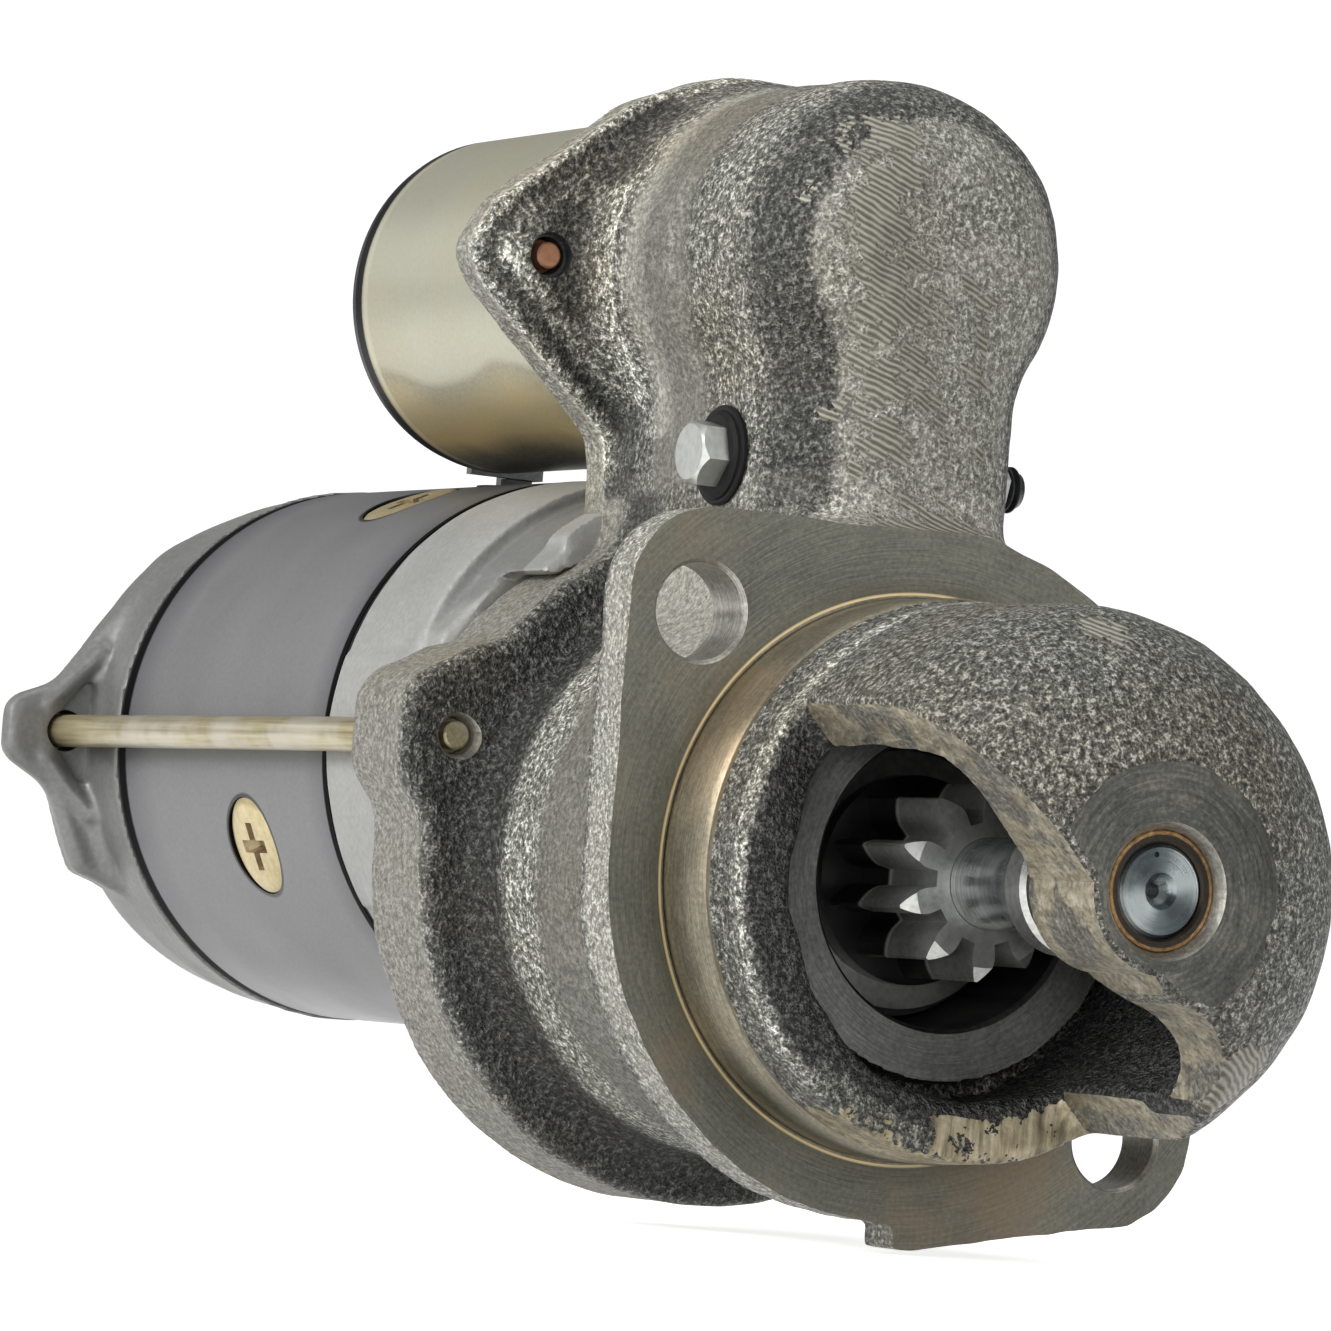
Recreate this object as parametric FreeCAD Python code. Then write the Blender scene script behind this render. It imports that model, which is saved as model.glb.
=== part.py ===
import FreeCAD, Part
import math, os
from FreeCAD import Vector as V

# Offset gear-reduction starter motor, millimetres.
# +X runs along the drive shaft towards the nose, +Z towards the solenoid.
# Origin: centre of the mounting pilot on the flange's mounting face, on the drive shaft's axis.

# ---- driving dimensions ----
MOD_RED = 1.5                 # module of the internal reduction
N_ARM, N_RING = 11, 36        # armature pinion and internal ring gear teeth
MOTOR_Z = MOD_RED * (N_RING - N_ARM) / 2.0     # armature axis height, 18.75
SOL_Z = 101.75                # solenoid axis height
PIVOT_X, PIVOT_Z = -31.7, 68.2
PLUNGER_TRAVEL = 9.9
DRIVE_TRAVEL = 20.0
LEVER_SWING = math.degrees(2 * math.asin(0.5 * DRIVE_TRAVEL / PIVOT_Z))

PILOT_R, PILOT_L = 46.035, 12.7
DOME_R, DOME_IN = 45.0, 39.0
NOSE_X = 79.0                 # front of the nose's dome
NOSE_ARC, NOSE_CX = 34.0, 46.0   # section arc of the dome and where it starts
SPOT_X, SPOT_R = 78.5, 20.3   # spot face round the nose bush
BUSH_WALL_R = 13.2             # boss left round the nose bush where the window passes it
WALL_X = 58.5                 # inner face of the bush's boss, behind the nose's end wall
FLANGE_T = 13.0
BOLT_PCD, BOLT_R, BOLT_A = 117.5, 7.94, -43.0
WIN_X, WIN_D = 24.0, 9.5      # ring-gear window: rear edge, and distance of its flat cut from the axis
WIN_N = (-0.74, -0.6726)
SCOOP_T, SCOOP_R, SCOOP_D = 25.5, 16.0, 5.0   # relief milled into the lower end of the cut
WEB_R_IN, WEB_R_OUT = 24.0, 32.0
RIM_X0, RIM_X1, RIM_R = -85.5, -62.5, 57.6
BODY_R = 48.5
THRU_Y, THRU_R = 53.25, 3.0
PLATE_X0, PLATE_X1, PLATE_R = -79.0, -70.0, 35.0
NECK_HALF, BULB_R, NECK_X = 24.0, 30.6, -4.0
BULB_Z = 103.0                # the bulb's centre stands slightly above the solenoid's axis
STUD_Y = 40.0

FRAME_R, FRAME_IN = 49.45, 45.2
FRAME_X0, FRAME_X1 = -208.8, -120.8
SEAL_T = 1.0
CAP_X0 = -248.0
SOL_R, SOL_X0, SOL_X1 = 30.5, -163.5, -79.0

SHAFT_R, BUSH_R = 7.4, 9.6
PIN_N, PIN_MOD, PIN_X0, PIN_X1 = 10, 2.54, -2.0, 25.0

os.makedirs("parts", exist_ok=True)
X = V(1, 0, 0)


def cyl(x0, x1, r, y=0.0, z=0.0):
    return Part.makeCylinder(r, x1 - x0, V(x0, y, z), X)


def tube(x0, x1, r1, r0, y=0.0, z=0.0):
    return cyl(x0, x1, r1, y, z).cut(cyl(x0 - 1, x1 + 1, r0, y, z))


def cyl_y(y0, y1, r, x, z):
    return Part.makeCylinder(r, y1 - y0, V(x, y0, z), V(0, 1, 0))


def box(x0, x1, y0, y1, z0, z1):
    return Part.makeBox(x1 - x0, y1 - y0, z1 - z0, V(x0, y0, z0))


def rev(profile, y=0.0, z=0.0):
    """Solid of revolution about an X-parallel axis; profile is (x, r) points."""
    pts = [V(px, 0, pr) for px, pr in profile]
    w = Part.makePolygon(pts + [pts[0]])
    s = Part.Face(w).revolve(V(0, 0, 0), X, 360)
    s.translate(V(0, y, z))
    return s


def fuse(*shapes):
    s = shapes[0]
    if len(shapes) > 1:
        s = s.multiFuse(list(shapes[1:]))
    return s.removeSplitter()


def rounded(corners):
    """Closed wire in the YZ plane from (y, z, radius) corners."""
    n = len(corners)
    tang = []
    for i in range(n):
        py, pz, r = corners[i]
        ay, az, _ = corners[i - 1]
        by, bz, _ = corners[(i + 1) % n]
        p = V(0, py, pz)
        a = (V(0, ay, az) - p)
        b = (V(0, by, bz) - p)
        la, lb = a.Length, b.Length
        a.normalize()
        b.normalize()
        if r <= 0:
            tang.append((p, p, p))
            continue
        ang = a.getAngle(b)
        d = min(r / math.tan(ang / 2), 0.49 * la, 0.49 * lb)
        rr = d * math.tan(ang / 2)
        bis = (a + b)
        bis.normalize()
        c = p + bis * (rr / math.sin(ang / 2))
        m = c - bis * rr
        tang.append((p + a * d, m, p + b * d))
    edges = []
    for i in range(n):
        s0, m0, e0 = tang[i]
        if (e0 - s0).Length > 1e-6:
            edges.append(Part.Arc(s0, m0, e0).toShape())
        s1 = tang[(i + 1) % n][0]
        if (s1 - e0).Length > 1e-6:
            edges.append(Part.LineSegment(e0, s1).toShape())
    return Part.Wire(edges)


def prism(wire, x0, x1):
    f = Part.Face(wire)
    f.translate(V(x0, 0, 0))
    return f.extrude(V(x1 - x0, 0, 0))


def gear_wire(n, m, tip, root, half=None, points=5, phase=0.0, pa=20.0):
    """Involute outline in the YZ plane, tooth centred on +Z turned by phase degrees."""
    rp = n * m / 2.0
    rb = rp * math.cos(math.radians(pa))
    inv = lambda r: (math.sqrt(max(r * r / rb / rb - 1, 0)) - math.acos(min(1.0, rb / r)))
    half = half if half is not None else math.pi / (2 * n)
    base = half + inv(rp)
    pts = []
    for k in range(n):
        c = 2 * math.pi * k / n + math.radians(phase)
        flank = []
        lo = max(rb * 1.001, root)
        for j in range(points):
            r = lo + (tip - lo) * j / (points - 1)
            flank.append((r, base - inv(r)))
        first = flank[0][1]
        side = [(root, first * 1.05)] + flank if root < lo - 0.05 else flank
        for r, a in side:
            pts.append((r, c - a))
        for r, a in reversed(side):
            pts.append((r, c + a))
    out = [V(0, r * math.sin(a), r * math.cos(a)) for r, a in pts]
    return Part.makePolygon(out + [out[0]])


def dist(a, b):
    return math.hypot(a[0] - b[0], a[1] - b[1])


nodes = {}


def put(name, *shapes):
    s = list(shapes)
    nodes[name] = s[0] if len(s) == 1 else Part.makeCompound(s)


# =====================================================================
# Drive housing: cast-iron nose, pilot, flange, gear case, neck and solenoid plate
# =====================================================================
def arc_pts(cx, cr, rad, a0, a1, n):
    return [(cx + rad * math.cos(math.radians(a0 + (a1 - a0) * i / n)),
             cr + rad * math.sin(math.radians(a0 + (a1 - a0) * i / n))) for i in range(n + 1)]


def nose_solid():
    p = [V(-8, 0, 0), V(-8, 0, PILOT_R), V(PILOT_L - 0.8, 0, PILOT_R), V(PILOT_L, 0, PILOT_R - 0.8),
         V(PILOT_L + 0.6, 0, DOME_R + 0.4), V(NOSE_CX, 0, DOME_R)]
    edges = [Part.LineSegment(p[i], p[i + 1]).toShape() for i in range(len(p) - 1)]
    c = V(NOSE_CX, 0, DOME_R - NOSE_ARC)
    t = math.asin((NOSE_X - NOSE_CX) / NOSE_ARC)
    e = c + V(NOSE_ARC * math.sin(t), 0, NOSE_ARC * math.cos(t))
    edges.append(Part.Arc(p[-1], c + V(NOSE_ARC * math.sin(t / 2), 0, NOSE_ARC * math.cos(t / 2)), e).toShape())
    edges.append(Part.LineSegment(e, V(NOSE_X, 0, 0)).toShape())
    edges.append(Part.LineSegment(V(NOSE_X, 0, 0), p[0]).toShape())
    return Part.Face(Part.Wire(edges)).revolve(V(0, 0, 0), X, 360)


def flange_solid():
    a1 = math.radians(81.0)
    R = 57.7
    p0 = V(0, R * math.cos(a1), R * math.sin(a1))
    pm = V(0, R * math.cos(math.radians(42)), R * math.sin(math.radians(42)))
    p1 = V(0, R, 0)
    rr = 15.0
    s = rr * (1 - math.sqrt(0.5))
    edges = []
    left, top = -56.0, p0.z
    A = V(0, left, 0)
    B = V(0, left, top - rr)
    C = V(0, left + rr, top)
    edges.append(Part.LineSegment(A, B).toShape())
    edges.append(Part.Arc(B, V(0, left + s, top - s), C).toShape())
    edges.append(Part.LineSegment(C, p0).toShape())
    edges.append(Part.Arc(p0, pm, p1).toShape())
    D = V(0, R, -39.5)
    E = V(0, 47.0, -53.7)
    M = V(0, 54.8, -47.9)
    edges.append(Part.LineSegment(p1, D).toShape())
    edges.append(Part.Arc(D, M, E).toShape())
    F = V(0, 2.2, -60.6)
    edges.append(Part.LineSegment(E, F).toShape())
    G = V(0, 2.0, -math.sqrt(56.0 ** 2 - 4.0))
    edges.append(Part.LineSegment(F, G).toShape())
    edges.append(Part.Arc(G, V(0, -56.0 * math.cos(math.radians(45)), -56.0 * math.sin(math.radians(45))), A).toShape())
    f = Part.Face(Part.Wire(edges))
    return f.extrude(V(-FLANGE_T, 0, 0))


def rim_solid():
    core = cyl(RIM_X0, RIM_X1, RIM_R)
    ears = []
    for s in (-1, 1):
        ears.append(prism(rounded([(s * 63.0, MOTOR_Z + 9.5, 8.0), (s * 63.0, MOTOR_Z - 9.0, 8.0),
                                   (s * 50.0, MOTOR_Z - 14.5, 0), (s * 40.0, MOTOR_Z, 0),
                                   (s * 47.0, MOTOR_Z + 17.0, 0)]), RIM_X0, RIM_X1))
    return core.multiFuse(ears)


def neck_solid():
    w, R, zc = NECK_HALF, BULB_R, BULB_Z
    fr = 16.0                               # concave blend from the bulb to the neck
    zt = zc - math.sqrt((R + fr) ** 2 - (w + fr) ** 2)
    ty = (w + fr) * R / (R + fr)
    tz = zc - (zc - zt) * R / (R + fr)
    k = math.atan2(tz - zt, -(w + fr - ty))
    mid = (k + math.pi) / 2
    def side(s):
        return V(0, s * ty, tz), V(0, s * (w + fr + fr * math.cos(mid)), zt + fr * math.sin(mid)), V(0, s * w, zt)
    rt, rm, rb = side(1)
    lt, lm, lb = side(-1)
    edges = [Part.Arc(lt, V(0, 0, zc + R), rt).toShape(), Part.Arc(rt, rm, rb).toShape(),
             Part.LineSegment(rb, V(0, w, 30)).toShape(), Part.LineSegment(V(0, w, 30), V(0, -w, 30)).toShape(),
             Part.LineSegment(V(0, -w, 30), lb).toShape(), Part.Arc(lb, lm, lt).toShape()]
    f = Part.Face(Part.Wire(edges))
    s = f.extrude(V(PLATE_X1 - NECK_X, 0, 0))
    s.translate(V(NECK_X, 0, 0))
    front = [e for e in s.Edges if all(abs(v.X - NECK_X) < 1e-6 for v in e.Vertexes) and
             e.CenterOfMass.z > 31]
    for rad in (16.0, 13.0, 11.0, 8.0):
        try:
            r = s.makeFillet(rad, front)
            if r.isValid() and r.Volume > 0:
                return r
        except Exception:
            pass
    return s


def plate_solid(grow=0.0):
    ey, er = 44.0 + grow, 9.5
    R, zc = PLATE_R + grow, SOL_Z
    body = prism(rounded([(-24 - grow, 40, 0), (-24 - grow, 71.0, 6), (-50.5, 95.8, 7), (-54.5, 101.5, 7),
                          (-49, 110.5, 6), (-24.0, 130.5, 14), (0, 138.5, 30), (24.0, 130.5, 14),
                          (49, 110.5, 6), (54.5, 101.5, 7), (50.5, 95.8, 7), (24 + grow, 71.0, 6),
                          (24 + grow, 40, 0)]), PLATE_X0, PLATE_X1)
    flare = rev([(PLATE_X1 - 1, 0), (PLATE_X1 - 1, 34.5), (PLATE_X1 + 8, 32.0), (PLATE_X1 + 24, 30.0), (PLATE_X1 + 24, 0)], 0, SOL_Z)
    return body.fuse(flare)


def window():
    n, t = WIN_N, (-WIN_N[1], WIN_N[0])
    q = [(WIN_D, -90), (WIN_D, 90), (140, 90), (140, -90)]
    w = Part.makePolygon([V(0, a * n[0] + b * t[0], a * n[1] + b * t[1]) for a, b in q + q[:1]])
    c = SCOOP_D + SCOOP_R
    scoop = cyl(50, 110, SCOOP_R, c * n[0] + SCOOP_T * t[0], c * n[1] + SCOOP_T * t[1])
    # the boss round the nose bush stays whole
    return prism(w, WIN_X, 110).fuse(scoop).cut(cyl(WALL_X, 112, BUSH_WALL_R))


WIN = window()


def drive_housing():
    s = nose_solid().multiFuse([flange_solid(), cyl(RIM_X1 - 6, -4, BODY_R), rim_solid(), neck_solid(), plate_solid()])
    cuts = [
        rev([(6.0, 0), (6.0, DOME_IN), (WALL_X - 10, DOME_IN), (WALL_X - 1.5, DOME_IN - 3.5), (WALL_X + 4, DOME_IN - 12), (WALL_X + 4, 16.5), (WALL_X, 14.0), (WALL_X, 0)]),
    ]
    s = s.cut(cuts[0])
    s = s.fuse(tube(2.0, 12.0, WEB_R_OUT, WEB_R_IN))
    tools = [
        cyl(-30, 14, WEB_R_IN),
        cyl(RIM_X0 - 1, -12, 41.0),
        cyl(RIM_X0 - 1, -79.5, 46.0),
        cyl(40, 90, BUSH_R),
        cyl(SPOT_X, 90, SPOT_R),
        Part.makeCone(BUSH_R, BUSH_R + 1.2, 1.85, V(SPOT_X - 1.85, 0, 0), X),
        WIN,
        box(-52, -14, -9.5, 9.5, 20, SOL_Z),
        cyl(PLATE_X0 - 1, -15, 18.0, 0, SOL_Z),
        cyl_y(-40, 40, 4.05, PIVOT_X, PIVOT_Z),
    ]
    a = math.radians(BOLT_A)
    for sgn in (-1, 1):
        y, z = sgn * math.cos(a) * BOLT_PCD / 2, sgn * math.sin(a) * BOLT_PCD / 2
        tools.append(cyl(-20, 1, BOLT_R, y, z))
        tools.append(cyl(RIM_X0 - 1, RIM_X1 + 1, THRU_R, sgn * THRU_Y, MOTOR_Z))
        tools.append(cyl(PLATE_X0 - 1, PLATE_X1 + 1, 3.0, sgn * STUD_Y, SOL_Z))
        # spot-faced seats of the pivot bolt
        tools.append(cyl_y(*((-60, -24.0) if sgn < 0 else (24.0, 60)), 9.0, PIVOT_X, PIVOT_Z))
        # room behind the flange for the bolt heads or nuts
        tools.append(cyl(-60, -FLANGE_T, 13.0, y * 1.06, z * 1.06))
    s = s.cut(tools[0])
    for t in tools[1:]:
        s = s.cut(t)
    return s.removeSplitter()


housing = drive_housing()
put("drive_housing", housing)

# nose bush
put("nose_bush", rev([(WALL_X + 0.5, SHAFT_R + 0.04), (WALL_X + 0.5, BUSH_R - 0.4), (WALL_X + 0.9, BUSH_R), (SPOT_X - 2.15, BUSH_R), (SPOT_X - 1.85, BUSH_R - 0.3), (SPOT_X - 1.85, SHAFT_R + 0.5), (SPOT_X - 2.3, SHAFT_R + 0.04)]))

# =====================================================================
# Centre housing (die-cast aluminium) with bearing plate and bearings
# =====================================================================
cx0, cx1 = FRAME_X1 + SEAL_T, RIM_X0
STEP_X = -93.0                # where the full-size band ends and the recess starts
ch = cyl(cx0, STEP_X, 49.4, 0, MOTOR_Z).fuse(cyl(STEP_X - 1, cx1, 46.2, 0, MOTOR_Z))
ch = ch.fuse(cyl(cx0 + 6, cx1, 43.0))
ch = ch.fuse(cyl(cx0 - 5.5, cx0, FRAME_IN - 0.05, 0, MOTOR_Z))
ch = ch.fuse(cyl(cx1, -79.5, 45.95))
lobe = cyl(cx1 - 4, -71.5, 46.2, 0, MOTOR_Z).cut(cyl(cx1 - 5, -60, RIM_R + 0.02))
lobe = lobe.common(box(-130, -60, -44, 44, 50, 80))
ch = ch.fuse(lobe)
ch = ch.cut(housing)
# grooves for the through-bolts
for sgn in (-1, 1):
    ch = ch.cut(cyl(-130, -70, 4.0, sgn * THRU_Y, MOTOR_Z))
ch = ch.cut(cyl(-117.0, -70, 34.6))                                   # ring gear cavity
ch = ch.cut(cyl(-130, -110, 14.0, 0, MOTOR_Z))                          # armature bearing seat
put("center_housing", ch)

put("bearing_plate", tube(-92.0, -81.0, 34.55, 17.0))
put("shaft_bearing", tube(-92.0, -81.0, 16.98, 11.03))
bearing = fuse(tube(-127.0, -118.0, 14.0, 11.2, 0, MOTOR_Z), tube(-127.0, -118.0, 8.8, 6.03, 0, MOTOR_Z),
               tube(-124.0, -121.0, 12.0, 8.0, 0, MOTOR_Z))
put("armature_front_bearing", bearing)

# =====================================================================
# Field frame, poles, coils, seals
# =====================================================================
POLE_A = [-23.7, 66.3, 156.3, 246.3]


def polar(r, a):
    """Point at angle a (degrees) up from the -Y side, about the motor axis."""
    return (-r * math.cos(math.radians(a)), MOTOR_Z + r * math.sin(math.radians(a)))


def sector(x0, x1, r0, r1, a0, a1):
    am = 0.5 * (a0 + a1)
    big = []
    n = 8
    pts = [polar(r0, a0 + (a1 - a0) * i / n) for i in range(n + 1)]
    def arc(r, b0, b1):
        p = [V(0, *polar(r, b)) for b in (b0, 0.5 * (b0 + b1), b1)]
        return Part.Arc(*p).toShape()
    o = arc(r1, a0, a1)
    i = arc(r0, a1, a0)
    e1 = Part.LineSegment(V(0, *polar(r1, a1)), V(0, *polar(r0, a1))).toShape()
    e2 = Part.LineSegment(V(0, *polar(r0, a0)), V(0, *polar(r1, a0))).toShape()
    w = Part.Wire([o, e1, i, e2])
    f = Part.Face(w)
    f.translate(V(x0, 0, 0))
    return f.extrude(V(x1 - x0, 0, 0))


PX = -156.0
frame = tube(FRAME_X0, FRAME_X1, FRAME_R, FRAME_IN, 0, MOTOR_Z)
shoes, coils, screws = [], [], []
for a in POLE_A:
    y, z = polar(1.0, a)
    d = V(0, y, z - MOTOR_Z)
    c = V(PX, 0, MOTOR_Z)
    hole = Part.makeCylinder(4.0, 30, c + d * 33, d)
    head = Part.makeCylinder(9.2, 4, c + d * 47.9, d)
    frame = frame.cut(hole).cut(head)
    shoe = sector(-183, -131, 31.9, FRAME_IN - 0.02, a - 24, a + 24)
    shoe = shoe.fuse(sector(-183, -131, 31.9, 34.5, a - 33, a + 33)).removeSplitter()
    screw_body = Part.makeCylinder(4.0, 12.5, c + d * 36.0, d)
    shoe = shoe.cut(Part.makeCylinder(4.0, 16, c + d * 36.0, d))
    shoes.append(shoe)
    coil = sector(-192, -126, 35.0, FRAME_IN - 0.05, a - 42, a + 42).cut(sector(-183.2, -130.8, 30, 46, a - 24.3, a + 24.3))
    coils.append(coil)
    sh = screw_body.fuse(Part.makeCylinder(9.0, 0.6, c + d * 47.9, d))
    sh = sh.fuse(Part.makeCone(9.0, 7.4, 0.7, c + d * 48.5, d))
    # cross recess
    for w1, w2 in ((5.2, 1.1), (1.1, 5.2)):
        b = Part.makeBox(2 * w1, 2 * w2, 6, V(-w1, -w2, 46.9))
        b.rotate(V(0, 0, 0), V(0, 0, 1), 20)
        b.rotate(V(0, 0, 0), X, 90.0 - a)
        b.translate(c)
        sh = sh.cut(b)
    screws.append(sh.removeSplitter())
# lead opening on the upper side of the frame
LEAD_X, LEAD_Y = -186.0, 17.0
frame = frame.cut(Part.makeCylinder(6.0, 40, V(LEAD_X, LEAD_Y, MOTOR_Z + 30), V(0, 0, 1)))
coils = [k.cut(Part.makeCylinder(6.3, 40, V(LEAD_X, LEAD_Y, MOTOR_Z + 30), V(0, 0, 1))) for k in coils]
put("field_frame", frame.removeSplitter())
put("pole_shoes", *shoes)
put("field_coils", *coils)
put("pole_screws", *screws)
put("frame_seals", tube(FRAME_X1, FRAME_X1 + SEAL_T, 49.3, 46.5, 0, MOTOR_Z),
    tube(FRAME_X0 - SEAL_T, FRAME_X0, 49.3, 46.5, 0, MOTOR_Z))

# =====================================================================
# End frame, through-bolts, brush gear
# =====================================================================
ex1 = FRAME_X0 - SEAL_T
cap = Part.Face(Part.Wire([
    Part.LineSegment(V(ex1, 0, 0), V(ex1, 0, 49.4)).toShape(),
    Part.LineSegment(V(ex1, 0, 49.4), V(-225, 0, 48.5)).toShape(),
    Part.LineSegment(V(-225, 0, 48.5), V(-239, 0, 46.4)).toShape(),
    Part.Arc(V(-239, 0, 46.4), V(-245.6, 0, 43.6), V(CAP_X0, 0, 37.5)).toShape(),
    Part.LineSegment(V(CAP_X0, 0, 37.5), V(CAP_X0, 0, 0)).toShape(),
    Part.LineSegment(V(CAP_X0, 0, 0), V(ex1, 0, 0)).toShape()])).revolve(V(0, 0, 0), X, 360)
cap.translate(V(0, 0, MOTOR_Z))
EAR_X0, EAR_X1 = -233.0, -224.5
for sgn in (-1, 1):
    ear = prism(rounded([(sgn * 65.2, MOTOR_Z + 5.5, 5.5), (sgn * 65.2, MOTOR_Z - 5.5, 5.5), (sgn * 53.0, MOTOR_Z - 12.0, 4),
                         (sgn * 38.0, MOTOR_Z - 25.0, 0), (sgn * 38.0, MOTOR_Z + 25.0, 0), (sgn * 53.0, MOTOR_Z + 12.0, 4)]), EAR_X0, EAR_X1)
    # two gusset ribs from the ear to the front rim
    ribs = []
    for t in (-1, 1):
        w = Part.makePolygon([V(EAR_X1 - 2, sgn * 60.0, 0), V(ex1, sgn * 48.0, 0), V(ex1, sgn * 40.0, 0), V(EAR_X1 - 2, sgn * 40.0, 0), V(EAR_X1 - 2, sgn * 60.0, 0)])
        rib = Part.Face(w).extrude(V(0, 0, 4.0))
        rib.translate(V(0, 0, MOTOR_Z + t * 13.0 - 2.0))
        ribs.append(rib)
    cap = cap.multiFuse([ear] + ribs)
cav = rev([(ex1 + 1, 0), (ex1 + 1, 45.2), (-226, 44.6), (-240, 41.0), (-243.5, 36.0), (-243.5, 0)], 0, MOTOR_Z)
cap = cap.cut(cav)
cap = cap.fuse(tube(-244.5, -233.0, 15.0, 11.0, 0, MOTOR_Z))
for sgn in (-1, 1):
    cap = cap.cut(cyl(-260, ex1 + 1, 3.9, sgn * THRU_Y, MOTOR_Z))
    cap = cap.cut(cyl(-260, EAR_X0, 7.2, sgn * THRU_Y, MOTOR_Z))
put("end_frame", cap.removeSplitter())
put("end_bearing", tube(-243.4, -234.4, 11.0, 5.04, 0, MOTOR_Z))


def hexa(x0, x1, af, y, z):
    r = af / math.sqrt(3)
    pts = [V(0, y + r * math.cos(math.radians(60 * i + 30)), z + r * math.sin(math.radians(60 * i + 30))) for i in range(6)]
    h = prism(Part.makePolygon(pts + [pts[0]]), x0, x1)
    return h


bolts = []
for sgn in (-1, 1):
    b = cyl(EAR_X0, RIM_X1 - 0.6, THRU_R, sgn * THRU_Y, MOTOR_Z)
    h = hexa(EAR_X0 - 5.5, EAR_X0, 10.0, sgn * THRU_Y, MOTOR_Z).fuse(cyl(EAR_X0 - 0.8, EAR_X0, 6.4, sgn * THRU_Y, MOTOR_Z))
    bolts.append(b.fuse(h).removeSplitter())
put("through_bolts", *bolts)

# brush gear
BR_A = [25.0, 115.0, 205.0, 295.0]
bx0, bx1 = -226.0, -214.0
plate = tube(-229.5, -227.5, 42.8, 22.0, 0, MOTOR_Z)
holders, brushes, springs = [], [], []
for a in BR_A:
    y, z = polar(1.0, a)
    d = V(0, y, z - MOTOR_Z)
    c = V(0, 0, MOTOR_Z)

    def rbox(x0, x1, w, r0, r1):
        b = Part.makeBox(x1 - x0, w, r1 - r0, V(x0, -w / 2, r0))
        b.rotate(V(0, 0, 0), X, 90.0 - a)
        b.translate(c)
        return b
    hold = rbox(-227.6, bx1 + 2.2, 12.4, 22.0, 40.5).cut(rbox(bx0 - 0.1, bx1 + 0.1, 8.2, 10.0, 39.0))
    holders.append(hold)
    brushes.append(rbox(bx0, bx1, 8.0, 19.3, 31.0))
    for i in range(4):
        springs.append(Part.makeTorus(2.6, 0.6, c + V(-220, 0, 0) + d * (31.7 + i * 2.0), d))
put("brush_holder", plate.multiFuse(holders).removeSplitter())
put("brushes", *brushes)
put("brush_springs", *springs)

# =====================================================================
# Armature
# =====================================================================
AZ = MOTOR_Z
ash = fuse(cyl(-242.5, -234.0, 5.0, 0, AZ), cyl(-234.0, -128.0, 8.0, 0, AZ), cyl(-128.0, -116.5, 6.0, 0, AZ),
           prism(gear_wire(N_ARM, MOD_RED, 8.25 + 1.2, 8.25 - 1.7, half=math.pi / (2 * N_ARM) * 0.93, phase=180.0 / N_ARM), -116.6, -100.6).translated(V(0, 0, AZ)))
put("armature_shaft", ash)
core = tube(-196, -134, 31.2, 8.0, 0, AZ)
slots = []
NS = 16
for i in range(NS):
    b = box(-197, -133, -1.6, 1.6, 22.0, 32.5)
    b.rotate(V(0, 0, 0), X, 360.0 / NS * i)
    b.translate(V(0, 0, AZ))
    slots.append(b)
core = core.cut(slots[0].multiFuse(slots[1:]))
put("armature_core", core)
bars = []
for i in range(NS):
    b = box(-197, -133, -1.5, 1.5, 22.1, 30.5)
    b.rotate(V(0, 0, 0), X, 360.0 / NS * i)
    b.translate(V(0, 0, AZ))
    bars.append(b)
wind = tube(-204.0, -196.2, 30.0, 16.0, 0, AZ).multiFuse([tube(-133.8, -128.6, 29.0, 17.0, 0, AZ)] + bars)
put("armature_windings", wind)
com = tube(-227.0, -205.0, 19.0, 8.0, 0, AZ)
cuts = []
for i in range(24):
    b = box(-228, -206, -0.35, 0.35, 18.0, 20.0)
    b.rotate(V(0, 0, 0), X, 15.0 * i)
    b.translate(V(0, 0, AZ))
    cuts.append(b)
com = com.cut(cuts[0].multiFuse(cuts[1:]))
put("commutator", com)

# =====================================================================
# Drive shaft with internal ring gear, pinion stop
# =====================================================================
ring_in = prism(gear_wire(N_RING, MOD_RED, 28.85, 25.75, half=math.pi / (2 * N_RING) * 1.06, phase=180.0 / N_RING), -118, -99)
drum = cyl(-115.8, -95.2, 33.6).cut(ring_in)
SHAFT_END = SPOT_X - 1.9
hub = fuse(cyl(-96, -79.0, 11.0), cyl(-80.0, -34.0, 10.0), cyl(-35.0, SHAFT_END - 0.7, SHAFT_R), Part.makeCone(SHAFT_R, SHAFT_R - 0.6, 0.7, V(SHAFT_END - 0.7, 0, 0), X))
spl = []
for i in range(8):
    b = box(-76, -30, -1.2, 1.2, 9.2, 12)
    b.rotate(V(0, 0, 0), X, 45.0 * i)
    spl.append(b)
shaft = drum.fuse(hub).cut(spl[0].multiFuse(spl[1:]))
shaft = shaft.cut(Part.makeCone(0.6, 2.9, 3.4, V(SHAFT_END - 3.4, 0, 0), X)).cut(cyl(SHAFT_END - 7, SHAFT_END - 2, 1.2))
shaft = shaft.cut(cyl(SHAFT_END - 0.8, SHAFT_END + 1, 0.45, -1.3, 5.6))
put("drive_shaft", shaft.removeSplitter())
put("pinion_stop", rev([(47.2, SHAFT_R), (47.2, 10.2), (48.0, 11.0), (52.4, 11.0), (53.2, 10.2), (53.2, SHAFT_R)]))

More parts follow.
